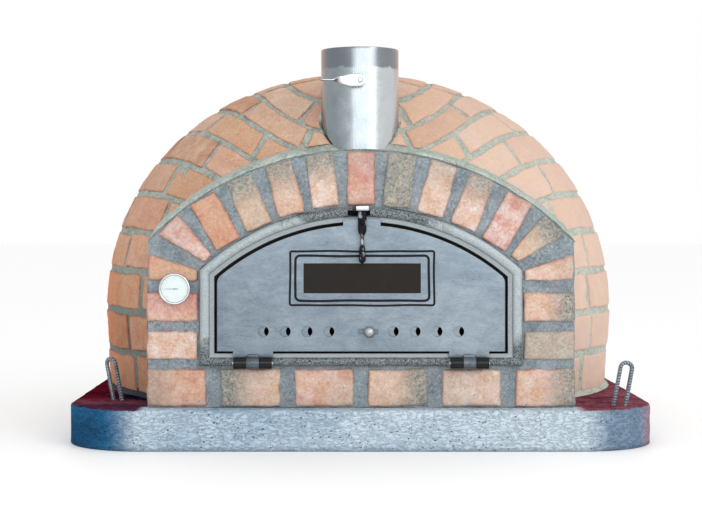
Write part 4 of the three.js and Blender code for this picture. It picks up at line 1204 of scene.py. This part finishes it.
# Each brick's clay tone from red to tan, how burnt it is, its pale bloom, its soot and where the soot lies.
FACING_LOOKS = {
    "arch_brick_1": (0.34, 0.20, 0.20, 0.0, "all"),
    "arch_brick_2": (0.02, 0.00, 0.80, 0.2, "outer"),
    "arch_brick_3": (0.34, 0.40, 0.15, 0.0, "all"),
    "arch_brick_4": (0.80, 0.10, 0.30, 1.0, "outer"),
    "arch_brick_5": (0.50, 0.00, 0.40, 0.9, "outer"),
    "arch_brick_6": (0.45, 0.00, 1.00, 0.9, "outer"),
    "arch_brick_7": (0.04, 0.10, 0.50, 0.3, "outer"),
    "arch_brick_8": (0.95, 0.00, 0.25, 0.9, "all"),
    "arch_brick_9": (0.60, 0.00, 0.80, 0.4, "outer"),
    "arch_brick_10": (0.40, 0.00, 1.00, 0.8, "outer"),
    "arch_brick_11": (0.05, 0.00, 0.90, 0.1, "outer"),
    "arch_brick_12": (0.80, 0.10, 0.40, 1.0, "outer"),
    "arch_brick_13": (0.34, 0.00, 0.70, 0.3, "outer"),
    "jamb_brick_left_upper": (0.02, 0.00, 0.50, 0.0, "all"),
    "jamb_brick_left_lower": (0.40, 0.00, 0.90, 0.0, "all"),
    "jamb_brick_right_upper": (0.45, 0.05, 0.60, 1.0, "right"),
    "jamb_brick_right_lower": (0.92, 0.00, 0.50, 0.5, "all"),
    "sill_brick_1": (0.32, 0.20, 0.40, 0.5, "left"),
    "sill_brick_2": (0.60, 0.00, 0.60, 1.0, "left"),
    "sill_brick_3": (0.32, 0.10, 0.65, 0.2, "right"),
    "sill_brick_4": (0.55, 0.00, 0.55, 1.0, "right"),
    "sill_brick_5": (0.60, 0.00, 0.85, 0.2, "left"),
    "sill_brick_6": (0.45, 0.00, 0.70, 0.9, "right"),
}


def make_facing():
    for node, look in FACING_LOOKS.items():
        facing_brick(node, look)


def portal_mortar():
    """The mortar of the portal: a thick arched frame with a rough face, filling between its bricks."""
    front, back, inset = -506 * MM, ARCH_BACK, 1.5 * MM
    counts = {"arc": 220, "side": 76, "base": 196}
    outer = np.array(arch_outline(ARCH_HALF_WIDTH - inset, TOP + 1 * MM, ARCH_OUTER - inset, **counts))
    gap = 0.5 * MM
    inner = np.array(arch_outline(OPENING_HALF + gap, OPENING_BOTTOM, OPENING_RADIUS + gap, **counts))
    section = [(share, front) for share in np.linspace(0, 1, 27, endpoint=False)]
    section += [(1, y) for y in np.linspace(front, back, 44, endpoint=False)]
    section += [(share, back) for share in np.linspace(1, 0, 8, endpoint=False)]
    section += [(0, y) for y in np.linspace(back, front, 30, endpoint=False)]
    rings = []
    for share, y in section:
        ring = inner + (outer - inner) * share
        rings.append([(x, y, z) for x, z in ring])
    verts, faces = loft(rings, closed=True)
    points = np.array(verts)
    rough = 1.4 * MM * wander(points, 0.024, 61) + 0.8 * MM * wander(points, 0.009, 67)
    keep = np.clip((points[:, 2] - TOP) / (4 * MM), 0, 1)[:, None]
    points = points + rough * (0.4 + 0.6 * keep)
    add_piece("portal_mortar", points, faces, FACADE_MORTAR, "root", ["facade_mortar"], "mortar", sharp=60)


make_facing()
portal_mortar()


# ---------------------------------------------------------------- door frame and door leaf

WINDOW_LOW, WINDOW_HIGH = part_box("sight_glass")
CUT_FRONT, CUT_BACK = -540 * MM, -500 * MM
SLIDER_TRAVEL = 12.5 * MM
POCKET_HALF = 17.4 * MM
# The casting's few pin holes: x and height over the slab, in millimetres.
PIN_HOLES = [(-212, 128), (171, 122), (-61, 305), (92, 130), (-151, 240), (205, 236)]
PANEL_HALF_X, PANEL_HALF_Z = 107.5 * MM, 27.5 * MM
# Half length, half height, corner radius, width, depth and waviness of the two grooves, in millimetres.
GROOVES = [(132, 49.5, 4, 4.0, 3.4, 0.7), (122.5, 41, 8, 4.6, 3.6, 0.7)]
WINDOW_CENTRE = ((WINDOW_LOW.x + WINDOW_HIGH.x) / 2, (WINDOW_LOW.z + WINDOW_HIGH.z) / 2)
VENT_HEIGHT = TOP + 141 * MM
VENT_PLACES = [side * x * MM for side in (-1, 1) for x in (59, 99, 139, 179)]
VENT_OFFSET = 11 * MM
VENT_RADIUS = 10 * MM
SLOT_X, SLOT_LENGTH, SLOT_HEIGHT = 13 * MM, 36 * MM, 9 * MM
KNOB_X = 15 * MM
CATCH_SHADE_FRONT = -519.2 * MM
KNUCKLE_RADIUS = 11 * MM
MIDDLE_KNUCKLE = 23.4 * MM
OUTER_KNUCKLE = 23 * MM
KNUCKLE_GAP = 0.6 * MM
LEAF_RADIUS = 403.6 * MM
LEAF_BOTTOM = TOP + 104.4 * MM
LEAF_HALF = 264 * MM
APRON_HALF = 37 * MM
APRON_BOTTOM = TOP + 94 * MM


def block_object(low, high, round_off=0.8 * MM):
    return loose_object("block", *box_shape(low, high, round_off))


def union(shapes):
    """One closed mesh from several overlapping shapes."""
    objects = [loose_object("part", *shape) for shape in shapes]
    mesh = boolean(objects[0].data.copy(), objects[1:], "UNION")
    drop(*objects)
    return mesh


def knuckle_shape(centre_x, length):
    """A barrel with softened rims and a bored end, lying along X on the hinge line."""
    r, half, soft = KNUCKLE_RADIUS, length / 2, 1.2 * MM
    profile = [(0, -half + 2 * MM), (4.4 * MM, -half + 2 * MM), (4.4 * MM, -half + 0.5 * MM),
               (4.9 * MM, -half)]
    rims = [(r - soft * (1 - math.sin(a)), -half + soft * (1 - math.cos(a)))
            for a in np.linspace(0, math.pi / 2, 5)]
    mirrored = [(radius, -along) for radius, along in reversed(profile + rims)]
    return lathe(profile + rims + mirrored, 48, "X", (centre_x, HINGE.y, HINGE.z))


def frame_shape():
    section = [(0, -490), (0, -513), (0.8, -515.6), (3.0, -517.4), (7, -518.2), (12, -518.2), (15.5, -517.4),
               (17.8, -515.8), (19, -514.2), (20, -514), (26.8, -514), (27.5, -513.2), (27.5, -490)]
    rings = []
    for inset, y in section:
        bottom = OPENING_BOTTOM + inset * MM * 24 / 28
        ring = arch_outline(OPENING_HALF - inset * MM, bottom, OPENING_RADIUS - inset * MM, 96, 30, 60)
        rings.append([(x, y * MM, z) for x, z in ring])
    verts, faces = loft(rings, closed=True)
    points = np.array(verts)
    points = points + np.array((0.25, 0.35, 0.25)) * MM * wander(points, 0.035, 21)
    return [tuple(p) for p in points], faces


def make_frame():
    """The fixed door surround, with the outer barrels of its two hinges."""
    shapes = [frame_shape()]
    for side in (-1, 1):
        for end in (-1, 1):
            centre = side * HINGE_X + end * (MIDDLE_KNUCKLE / 2 + KNUCKLE_GAP + OUTER_KNUCKLE / 2)
            low = (centre - OUTER_KNUCKLE / 2 + 1 * MM, HINGE.y + 3 * MM, HINGE.z - 5 * MM)
            high = (centre + OUTER_KNUCKLE / 2 - 1 * MM, -514 * MM, HINGE.z + 5 * MM)
            shapes.append(box_shape(low, high, 1.2 * MM))
            barrel = knuckle_shape(centre, OUTER_KNUCKLE)
            name = f"hinge_barrel_{'left' if side < 0 else 'right'}_{'outer' if end == side else 'inner'}"
            add_piece(name, *barrel, BLACK_STEEL, "root", ["door_frame"], "frame_iron", sharp=40)
    add_mesh("door_surround", union(shapes), FRAME_IRON, "root", ["door_frame"], 35)


def leaf_outline(inset, arc=90):
    """The leaf's edge with rounded shoulders and aprons over the hinges, drawn in by the inset."""
    half, radius, bottom = LEAF_HALF - inset, LEAF_RADIUS - inset, LEAF_BOTTOM + inset
    soft = 9 * MM
    spring = math.acos(half / radius)
    shoulder = (half, ARCH_CENTRE + radius * math.sin(spring))
    tangent = Vector((-math.sin(spring), math.cos(spring)))
    points = []
    for i in np.linspace(0, 1, 9):
        first = Vector(shoulder) - Vector((0, 1)) * soft * (1 - i)
        second = Vector(shoulder) + tangent * soft * i
        points.append(tuple(first.lerp(second, i)))
    start = spring + soft / radius
    for angle in np.linspace(start, math.pi - start, arc)[1:-1]:
        points.append((radius * math.cos(angle), ARCH_CENTRE + radius * math.sin(angle)))
    points += [(-x, z) for x, z in reversed(points[:9])]
    apron = APRON_HALF - inset
    low = APRON_BOTTOM + inset
    base = [(-half, bottom), (-HINGE_X - apron, bottom), (-HINGE_X - apron, low), (-HINGE_X + apron, low),
            (-HINGE_X + apron, bottom)]
    return points + base + [(-x, z) for x, z in reversed(base)]


def slab_from(outline_at, front, back, soft):
    """A plate with a rounded front edge from an outline that can be drawn in."""
    rings = [[(x, back, z) for x, z in outline_at(0)]]
    for angle in np.linspace(0, math.pi / 2, 4):
        inset = soft * (1 - math.cos(angle))
        rings.append([(x, front + soft * (1 - math.sin(angle)), z) for x, z in outline_at(inset)])
    return loft(rings)


def ring_groove(half_x, half_z, corner, width, depth, wobble):
    """A closed groove cutter round a rectangle with rounded corners on the leaf's face."""
    centre_x, centre_z = WINDOW_CENTRE
    path = [(np.array((sx * (half_x - corner), sz * (half_z - corner))), out)
            for (sx, sz), out in rounded_corners(7)]
    stations = []
    for (spot, out), (next_spot, *_) in zip(path, path[1:] + path[:1]):
        gap = np.linalg.norm(next_spot - spot)
        for share in np.linspace(0, 1, max(int(gap / (8 * MM)), 1), endpoint=False):
            stations.append((spot * (1 - share) + next_spot * share, out))
    rings = []
    for i, (spot, out) in enumerate(stations):
        shift = wobble * math.sin(i * 0.37) * math.sin(i * 0.11)
        ring = []
        for across, y in ((-0.5, depth), (0.5, depth), (0.5, -4 * MM), (-0.5, -4 * MM)):
            reach = corner + shift + across * width
            x, z = spot + np.array(out) * reach
            ring.append((centre_x + x, LEAF_FRONT + y, centre_z + z))
        rings.append(ring)
    return loft(rings, closed=True)


def vent_cutter(x, back):
    profile = [(0, CUT_FRONT), (VENT_RADIUS, CUT_FRONT), (VENT_RADIUS, back), (0, back)]
    return loose_object("vent", *lathe(profile, 56, "Y", (x, 0, VENT_HEIGHT)))


def make_leaf():
    """The cast leaf: plate, top tab, hinge barrels and slider rails, cut by its window, grooves and vents."""
    tab_low, tab_high = TOP + 322 * MM, TOP + 347 * MM
    shapes = [slab_from(leaf_outline, LEAF_FRONT, LEAF_BACK, 1.2 * MM)]
    shapes.append(box_shape((-33 * MM, LEAF_FRONT, tab_low), (36 * MM, -514.8 * MM, tab_high), 0.9 * MM))
    for side in (-1, 1):
        x = side * HINGE_X
        half = MIDDLE_KNUCKLE / 2
        shapes.append(box_shape((x - half + MM, HINGE.y + 2 * MM, HINGE.z + 2 * MM),
                                (x + half - MM, -514 * MM, HINGE.z + 16 * MM), 2 * MM))
        shapes.append(knuckle_shape(x, MIDDLE_KNUCKLE))
    slider_low, slider_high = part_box("air_slider")
    rail_half = (slider_high.x - slider_low.x) / 2
    for side in (-1, 1):
        edge, lip, out = (VENT_HEIGHT + side * rise for rise in (POCKET_HALF, 13.3 * MM, 22.3 * MM))
        shapes.append(box_shape((-rail_half, LEAF_BACK - MM, min(edge, out)),
                                (rail_half, slider_high.y + 3 * MM, max(edge, out))))
        shapes.append(box_shape((-rail_half, slider_high.y + 0.4 * MM, min(lip, out)),
                                (rail_half, slider_high.y + 3 * MM, max(lip, out))))
    leaf = union(shapes)
    wx, wz = WINDOW_CENTRE
    cuts = [block_object((wx - PANEL_HALF_X, CUT_FRONT, wz - PANEL_HALF_Z),
                         (wx + PANEL_HALF_X, CUT_BACK, wz + PANEL_HALF_Z), 0.5 * MM)]
    for groove in GROOVES:
        cuts.append(loose_object("groove", *ring_groove(*(size * MM for size in groove))))
    cuts.append(block_object((slider_low.x - SLIDER_TRAVEL, -516.6 * MM, VENT_HEIGHT - POCKET_HALF),
                             (slider_high.x + SLIDER_TRAVEL, LEAF_BACK + MM, VENT_HEIGHT + POCKET_HALF)))
    cuts.append(block_object((SLOT_X - SLOT_LENGTH / 2, CUT_FRONT, VENT_HEIGHT - SLOT_HEIGHT / 2),
                             (SLOT_X + SLOT_LENGTH / 2, CUT_BACK, VENT_HEIGHT + SLOT_HEIGHT / 2), 0.6 * MM))
    cuts += [vent_cutter(x, CUT_BACK) for x in VENT_PLACES]
    for px, pz in PIN_HOLES:
        dot = lathe([(0, -0.0012), (1.1 * MM, -0.0012), (0.7 * MM, 0.0014), (0, 0.0017)], 12, "Y",
                    (px * MM, LEAF_FRONT, TOP + pz * MM))
        cuts.append(loose_object("pit", *dot))
    finished = boolean(leaf, cuts)
    drop(*cuts)
    add_mesh("leaf_casting", finished, LEAF_IRON, "door", ["door_leaf"], 35)


make_frame()
make_leaf()


def saddle(name, stations, section_at, material, seed, amplitude=0.8):
    """A rough mortar fillet swept through sections given for each station."""
    verts, faces = loft([section_at(station) for station in stations])
    points = np.array(verts)
    coarse, fine = wander(points, 0.016, seed), wander(points, 0.007, seed + 4)
    points = points + amplitude * MM * coarse + 0.5 * MM * fine
    add_piece(name, points, faces, material, "root", [], "mortar", sharp=60)


def portal_fillet(angle):
    """Mortar that runs from the portal's outer edge up to the dome, as seen along one radius of the arch."""
    taper = min(1.0, (abs(math.sin(angle)) - math.sin(spring_angle)) / 0.05 + 0.25)
    beside_flue = float(smooth(abs(math.cos(angle)) * ARCH_OUTER, 80 * MM, 125 * MM))
    lift = 19 * MM * taper * max(beside_flue, 0.15)
    reach = ARCH_OUTER + lift
    out = (math.cos(angle), math.sin(angle))
    dome = dome_front(out[0] * reach, ARCH_CENTRE + out[1] * reach)
    front = -503 * MM
    depth = dome - front
    profile = [(-3 * MM, front + 6 * MM), (1.5 * MM, front + 2 * MM), (0.35 * lift, front + 0.05 * depth),
               (0.7 * lift, front + 0.25 * depth), (0.9 * lift, front + 0.6 * depth), (lift, dome - 1 * MM),
               (lift + 2 * MM, dome + 8 * MM), (-6 * MM, dome + 30 * MM)]
    ring = []
    for (t0, y0), (t1, y1) in zip(profile, profile[1:] + profile[:1]):
        for share in (0, 0.5):
            r, y = ARCH_OUTER + t0 + (t1 - t0) * share, y0 + (y1 - y0) * share
            ring.append((out[0] * r, y, ARCH_CENTRE + out[1] * r))
    return ring


def foot_fillet(angle):
    """A small wash of mortar where the dome meets the slab."""
    profile = [(-6, -1), (9, -1), (7, 2), (3, 4), (0, 9), (-6, 9)]
    return [((DOME_FOOT_RADIUS + r * MM) * math.sin(angle), -(DOME_FOOT_RADIUS + r * MM) * math.cos(angle),
             TOP + z * MM) for r, z in profile]


def flue_collar(angle):
    """A thin bead of mortar round the pipe, following the slope of the dome."""
    x, y = math.sin(angle), -math.cos(angle)
    ring = []
    for reach, rise in ((-1, -14), (-1, 4), (1.5, 3.5), (5, 1), (6.5, -2), (6.5, -14)):
        radius = FLUE_RADIUS + reach * MM
        px, py = radius * x, FLUE_Y + radius * y
        height = float(np.interp(-math.hypot(px, py), -PROFILE_R, PROFILE_Z))
        ring.append((px, py, height + rise * MM))
    return ring


spring_angle = math.acos(ARCH_HALF_WIDTH / ARCH_OUTER)
over_arch = np.linspace(spring_angle, math.pi - spring_angle, 200)
saddle("portal_fillet", over_arch, portal_fillet, FILLET_MORTAR, 71)
behind_flue = np.linspace(0.5 * math.pi, 1.5 * math.pi, 140)
saddle("flue_collar", behind_flue, flue_collar, FILLET_MORTAR, 79, 0.4)
side_angle = math.asin(ARCH_HALF_WIDTH / DOME_FOOT_RADIUS)
round_foot = np.linspace(side_angle, 2 * math.pi - side_angle, 500)
saddle("dome_foot", round_foot, foot_fillet, DOME_MORTAR, 75, 1.2)


# ---------------------------------------------------------------- window, slider, knob and latch

def make_window():
    """A dark panel set just behind the leaf's face, with its rear retaining frame."""
    wx, wz = WINDOW_CENTRE
    half_x, half_z = PANEL_HALF_X + 0.1 * MM, PANEL_HALF_Z + 0.1 * MM
    verts, faces = box_shape((wx - half_x, LEAF_FRONT + 1.2 * MM, wz - half_z),
                             (wx + half_x, LEAF_FRONT + 5 * MM, wz + half_z), 0.6 * MM)
    add_piece("window_panel", verts, faces, WINDOW_PANEL, "door", ["sight_glass"], "sight_glass", sharp=30)
    low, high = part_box("glass_retainer")
    bars = []
    band = 14 * MM
    for start, end in (((low.x, low.z), (high.x, low.z + band)), ((low.x, high.z - band), (high.x, high.z)),
                       ((low.x, low.z), (low.x + band, high.z)), ((high.x - band, low.z), (high.x, high.z))):
        bars.append(box_shape((start[0], low.y, start[1]), (end[0], high.y, end[1]), 0.6 * MM))
    screw = in_mm((0, -2), (4, -2), (4, 1), (2.6, 2.6), (0, 3))
    for x in (low.x + band / 2, wx, high.x - band / 2):
        for z in (low.z + band / 2, high.z - band / 2):
            bars.append(lathe(screw, 20, "Y", (x, high.y, z)))
    add_mesh("window_retainer", union(bars), LEAF_BACK_IRON, "door", ["glass_retainer"], 35)


def make_slider():
    """The air slider behind the leaf, with its round knob in front."""
    low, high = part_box("air_slider")
    plate = box_shape((low.x, -516.3 * MM, low.z), (high.x, high.y, high.z), 0.5 * MM)
    body = loose_object("plate", *plate)
    cuts = [vent_cutter(x + VENT_OFFSET, CUT_BACK + 10 * MM) for x in VENT_PLACES]
    mesh = boolean(body.data.copy(), cuts)
    drop(body, *cuts)
    add_mesh("slider_plate", mesh, SLIDER_IRON, "slider", ["air_slider"], 35)
    r = 10.5 * MM
    ball = [(0, -r)] + [(r * math.sin(a), -r * math.cos(a)) for a in np.linspace(0.08, 2.75, 30)]
    neck = [(3.6 * MM, 10.5 * MM), (3.6 * MM, 22 * MM), (0, 22 * MM)]
    verts, faces = lathe(ball + neck, 48, "Y", (KNOB_X, -537 * MM, VENT_HEIGHT))
    add_piece("slider_ball", verts, faces, KNOB_STEEL, "slider", ["slider_knob"], "leaf_iron", sharp=50)


def make_latch():
    """A flat lever twisted below its pivot and ending in a drop, with the catch above it on the frame."""
    low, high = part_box("latch_lever")
    rings = []
    top, bottom = high.z, low.z
    for share in np.linspace(0, 1, 60):
        z = top + (bottom - top) * share
        twist = math.radians(82) * float(smooth(share, 0.34, 0.50) - smooth(share, 0.62, 0.78))
        half = 7.8 * MM - 2.4 * MM * float(smooth(share, 0.3, 0.55))
        half += 1.2 * MM * math.exp(-((share - 0.90) / 0.07) ** 2)
        half *= math.sqrt(max(1 - (max(share - 0.93, 0) / 0.0705) ** 2, 0.02))
        thick = 2.6 * MM + 1.0 * MM * float(smooth(share, 0.35, 0.6))
        if share > 0.95:
            thick *= math.sqrt(max(1 - ((share - 0.95) / 0.052) ** 2, 0.04))
        lean = -2.5 * MM * float(smooth(share, 0.45, 0.8))
        c, s = math.cos(twist), math.sin(twist)
        rings.append([(LATCH.x + x * c - y * s, LATCH.y + lean + x * s + y * c, z)
                      for x, y in bar_section(half, thick, 0.6, 24)])
    lever = loft(rings)
    rivet = in_mm((0, -5.4), (2.2, -5.2), (4.1, -4.0), (4.6, -2.6), (4.6, 2), (3.4, 2), (3.4, 11), (0, 11))
    pivot = lathe(rivet, 28, "Y", tuple(LATCH))
    add_mesh("latch_bar", union([lever, pivot]), LATCH_STEEL, "latch", ["latch_lever"], 45)
    low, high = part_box("latch_catch")
    face = (low.x + 7 * MM, low.y, low.z + 1.5 * MM), (high.x, low.y + 5 * MM, high.z)
    block = (low.x, low.y + 3 * MM, low.z), (high.x - 1 * MM, high.y, high.z - 0.5 * MM)
    # Painted shade: a matt black box fills the catch's pocket where only shade is seen.
    shade_box_low = (low.x - 9 * MM, CATCH_SHADE_FRONT, low.z - 8 * MM)
    recess_shade = shade_box_low, (high.x + 3 * MM, FRAME_HIGH.y, low.z + 2 * MM)
    for name, shape, material, slot in (
            ("catch_shade_box", box_shape(*recess_shade), SHADE_BLACK, "frame_iron"),
            ("catch_face", box_shape(*face, 1.0 * MM), BRIGHT_STEEL, "bright_steel"),
            ("catch_block", box_shape(*block, 1.2 * MM), BLACK_STEEL, "frame_iron")):
        add_piece(name, *shape, material, "root", ["latch_catch"], slot, sharp=35)


def make_pins():
    for side in ("left", "right"):
        low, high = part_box(f"hinge_pin_{side}")
        r, half = 4 * MM, (high.x - low.x) / 2
        profile = [(0, -half), (r - MM, -half), (r, -half + MM), (r, half - MM), (r - MM, half), (0, half)]
        verts, faces = lathe(profile, 32, "X", ((low.x + high.x) / 2, HINGE.y, HINGE.z))
        add_piece(f"hinge_rod_{side}", verts, faces, BRIGHT_STEEL, "root", [f"hinge_pin_{side}"],
                  "bright_steel", sharp=40)


make_window()
make_slider()
make_latch()
make_pins()


# ---------------------------------------------------------------- thermometer

def make_thermometer():
    """A round dial thermometer: polished bezel, enamel face, printed marks and a hand in front of them."""
    low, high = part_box("thermometer_case")
    centre = (NEEDLE.x, 0, NEEDLE.z)
    r = (high.x - low.x) / 2
    front = low.y
    wall, stem_end, stem = -509.8 * MM, -160 * MM, 4 * MM
    profile = [(0, stem_end), (stem, stem_end), (stem, wall), (r - 2.5 * MM, wall),
               (r - 1.2 * MM, wall - 0.4 * MM),
               (r - 1.2 * MM, front + 6 * MM), (r - 0.4 * MM, front + 5.2 * MM)]
    profile += [(r - 2.2 * MM + 2.2 * MM * math.cos(a), front + 2.6 * MM - 2.6 * MM * math.sin(a))
                for a in np.linspace(0.2, math.pi - 0.35, 12)]
    profile += [(r - 4.4 * MM, front + 3.6 * MM), (0, front + 3.6 * MM)]
    verts, faces = lathe(profile, 96, "Y", centre)
    add_piece("thermometer_bezel", verts, faces, BEZEL_CHROME, "root", ["thermometer_case"],
              "bright_steel", sharp=35)
    dial_front = front + 2.2 * MM
    verts, faces = lathe([(0, dial_front), (r - 4.6 * MM, dial_front), (r - 4.6 * MM, front + 4.4 * MM),
                          (0, front + 4.4 * MM)], 96, "Y", centre)
    add_piece("dial_face", verts, faces, ENAMEL, "root", ["thermometer_dial"], "dial_white", sharp=35)
    ticks = []
    for i in range(31):
        angle = math.radians(225 - 9 * i)
        inner, outer = (r - (10 if i % 5 == 0 else 8) * MM), r - 6.4 * MM
        half = (0.35 if i % 5 == 0 else 0.2) * MM
        along = Vector((math.cos(angle), math.sin(angle)))
        across = Vector((-along.y, along.x)) * half
        corners = [along * inner - across, along * outer - across,
                   along * outer + across, along * inner + across]
        rings = [[(NEEDLE.x + c.x, y, NEEDLE.z + c.y) for c in corners]
                 for y in (dial_front - 0.12 * MM, dial_front + 0.3 * MM)]
        ticks.append(loft(rings))
    add_piece("dial_ticks", *merge(ticks), TICK_PAINT, "root", ["thermometer_dial"], "needle_black", sharp=20)
    hand_back, hand_front = dial_front - 0.4 * MM, dial_front - 0.9 * MM
    hand = []
    for along, half in ((-7, 0.5), (-6.5, 0.9), (0, 0.55), (14, 0.3), (17.5, 0.12)):
        low_edge, high_edge = NEEDLE.z - half * MM, NEEDLE.z + half * MM
        hand.append([(NEEDLE.x - along * MM, y, z)
                     for y, z in ((hand_front, low_edge), (hand_front, high_edge),
                                  (hand_back, high_edge), (hand_back, low_edge))])
    hub_profile = in_mm((0, -1.3), (1.3, -1.1), (1.7, -0.6), (1.7, 0.4), (0, 0.4))
    hub = lathe(hub_profile, 24, "Y", (NEEDLE.x, dial_front, NEEDLE.z))
    add_piece("dial_hand", *merge([loft(hand), hub]), NEEDLE_PAINT, "needle", ["thermometer_needle"],
              "needle_black", sharp=35)


make_thermometer()


# ---------------------------------------------------------------- flue, damper and handle

def make_flue():
    """A thin stainless tube with a rolled rim and an upright weld."""
    r = FLUE_RADIUS
    inner = r - FLUE_WALL
    heights = np.concatenate([[FLUE_LOW.z], np.linspace(FLUE_LOW.z + 0.05, FLUE_HIGH.z - 2 * MM, 60)])
    profile = [(r, z) for z in heights]
    profile += [(r - 0.5 * MM, FLUE_HIGH.z - 0.6 * MM), (r - 1.0 * MM, FLUE_HIGH.z)]
    profile += [(inner + 0.4 * MM, FLUE_HIGH.z - 0.2 * MM)] + [(inner, z) for z in reversed(heights)]
    verts, faces = lathe(profile, 160, "Z", (0, FLUE_Y, 0))
    points = np.array(verts)
    radial = points[:, :2] - (0, FLUE_Y)
    angle = np.arctan2(radial[:, 1], radial[:, 0])
    seam = np.exp(-((angle + 0.62) / 0.012) ** 2) * (np.hypot(*radial.T) > r - 0.7 * MM)
    wave = 0.25 * MM * lattice_noise(points, 0.09, 31) + 0.5 * MM * seam
    points[:, :2] += radial / np.linalg.norm(radial, axis=1, keepdims=True) * wave[:, None]
    add_piece("flue_tube", points, faces, STAINLESS, "root", ["flue_pipe"], "bright_steel", sharp=40)


def make_damper():
    """The damper plate on its rod inside the flue, and the twisted handle in front."""
    low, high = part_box("damper")
    plate_r = (high.x - low.x) / 2
    disc = lathe([(0, -MM), (plate_r - 0.4 * MM, -MM), (plate_r, -0.6 * MM), (plate_r, 0.6 * MM),
                  (plate_r - 0.4 * MM, MM), (0, MM)], 96, "Z", tuple(DAMPER))
    length = high.y - low.y
    rod = lathe([(0, -length / 2), (3.2 * MM, -length / 2), (4 * MM, -length / 2 + 0.8 * MM),
                 (4 * MM, length / 2 - 0.8 * MM), (3.2 * MM, length / 2), (0, length / 2)], 32, "Y",
                (DAMPER.x, (low.y + high.y) / 2, DAMPER.z))
    add_mesh("damper_plate", union([disc, rod]), BRIGHT_STEEL, "damper", ["damper"], 40)
    low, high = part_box("damper_handle")
    rings = []
    for share in np.linspace(0, 1, 90):
        x = high.x + (low.x - high.x) * share
        twist = math.radians(90) * float(smooth(share, 0.50, 0.74))
        width = 12.2 * MM * math.sqrt(max(1 - (max(0.16 - share, 0) / 0.163) ** 2, 0.01))
        width *= 1 - 0.45 * float(smooth(share, 0.3, 0.62)) + 0.1 * float(smooth(share, 0.75, 0.95))
        width *= math.sqrt(max(1 - (max(share - 0.94, 0) / 0.0602) ** 2, 0.02))
        c, s = math.cos(twist), math.sin(twist)
        rings.append([(x, HANDLE_Y + y * c - z * s, DAMPER.z + z * c + y * s)
                      for z, y in bar_section(width, 1.5 * MM, 0.5, 20)])
    nut_profile = in_mm((0, -4), (4.4, -4), (5.6, -3), (5.6, 1.6), (0, 1.6))
    nut = lathe(nut_profile, 6, "Y", (DAMPER.x, HANDLE_Y, DAMPER.z))
    grip = union([loft(rings), nut])
    add_mesh("damper_grip", grip, BRIGHT_STEEL, "damper", ["damper_handle"], 40)


make_flue()
make_damper()


# ---------------------------------------------------------------- parts kept from the frame

KEPT_NODES = {"hearth_slab": HEARTH_TILE, "entry_tile": HEARTH_TILE, "inner_dome": REFRACTORY,
              "entry_vault": REFRACTORY, "dome_insulation": INSULATION, "floor_insulation": INSULATION}
for kept, material in KEPT_NODES.items():
    NODES[kept].data.materials.clear()
    NODES[kept].data.materials.append(material)


# ---------------------------------------------------------------- floor, lights and camera

def make_floor():
    mesh = bpy.data.meshes.new("floor")
    mesh.from_pydata([(-30, -30, 0), (30, -30, 0), (30, 30, 0), (-30, 30, 0)], [], [(0, 1, 2, 3)])
    s = Shader("floor_paint")
    cloud = s.mix(s.noise(900, 3), (0.955, 0.955, 0.955, 1), (0.975, 0.975, 0.975, 1))
    mesh.materials.append(s.finish(Base_Color=cloud, Roughness=0.55))
    new_object("floor", mesh)


def area_light(name, place, target, width, height, power, colour=(1, 1, 1)):
    data = bpy.data.lights.new(name, "AREA")
    data.shape = "RECTANGLE"
    data.size, data.size_y = width, height
    data.energy = power
    data.color = colour
    light = new_object(name, data)
    light.location = place
    light.rotation_euler = (Vector(target) - Vector(place)).to_track_quat("-Z", "Y").to_euler()


def make_world(strength):
    world = bpy.data.worlds.new("studio")
    world.use_nodes = True
    background = world.node_tree.nodes["Background"]
    background.inputs["Color"].default_value = (1.0, 1.0, 1.0, 1.0)
    background.inputs["Strength"].default_value = strength
    bpy.context.scene.world = world


def make_camera():
    data = bpy.data.cameras.new("camera")
    data.lens = 82
    data.sensor_width = 36
    data.shift_x, data.shift_y = 0.0191, -0.0534
    camera = new_object("camera", data)
    camera.location = (-0.043, -3.449, 0.413)
    camera.rotation_euler = (math.radians(90), 0, 0)
    bpy.context.scene.camera = camera


make_floor()
make_world(1.0)
area_light("softbox", (0.95, -3.95, 1.25), (0.3, 0, 0.6), 5.4, 2.0, 62)
area_light("key", (2.8, -3.2, 3.2), (0, 0, 0.35), 1.4, 1.4, 28)
make_camera()
bpy.context.scene.view_settings.view_transform = "Standard"
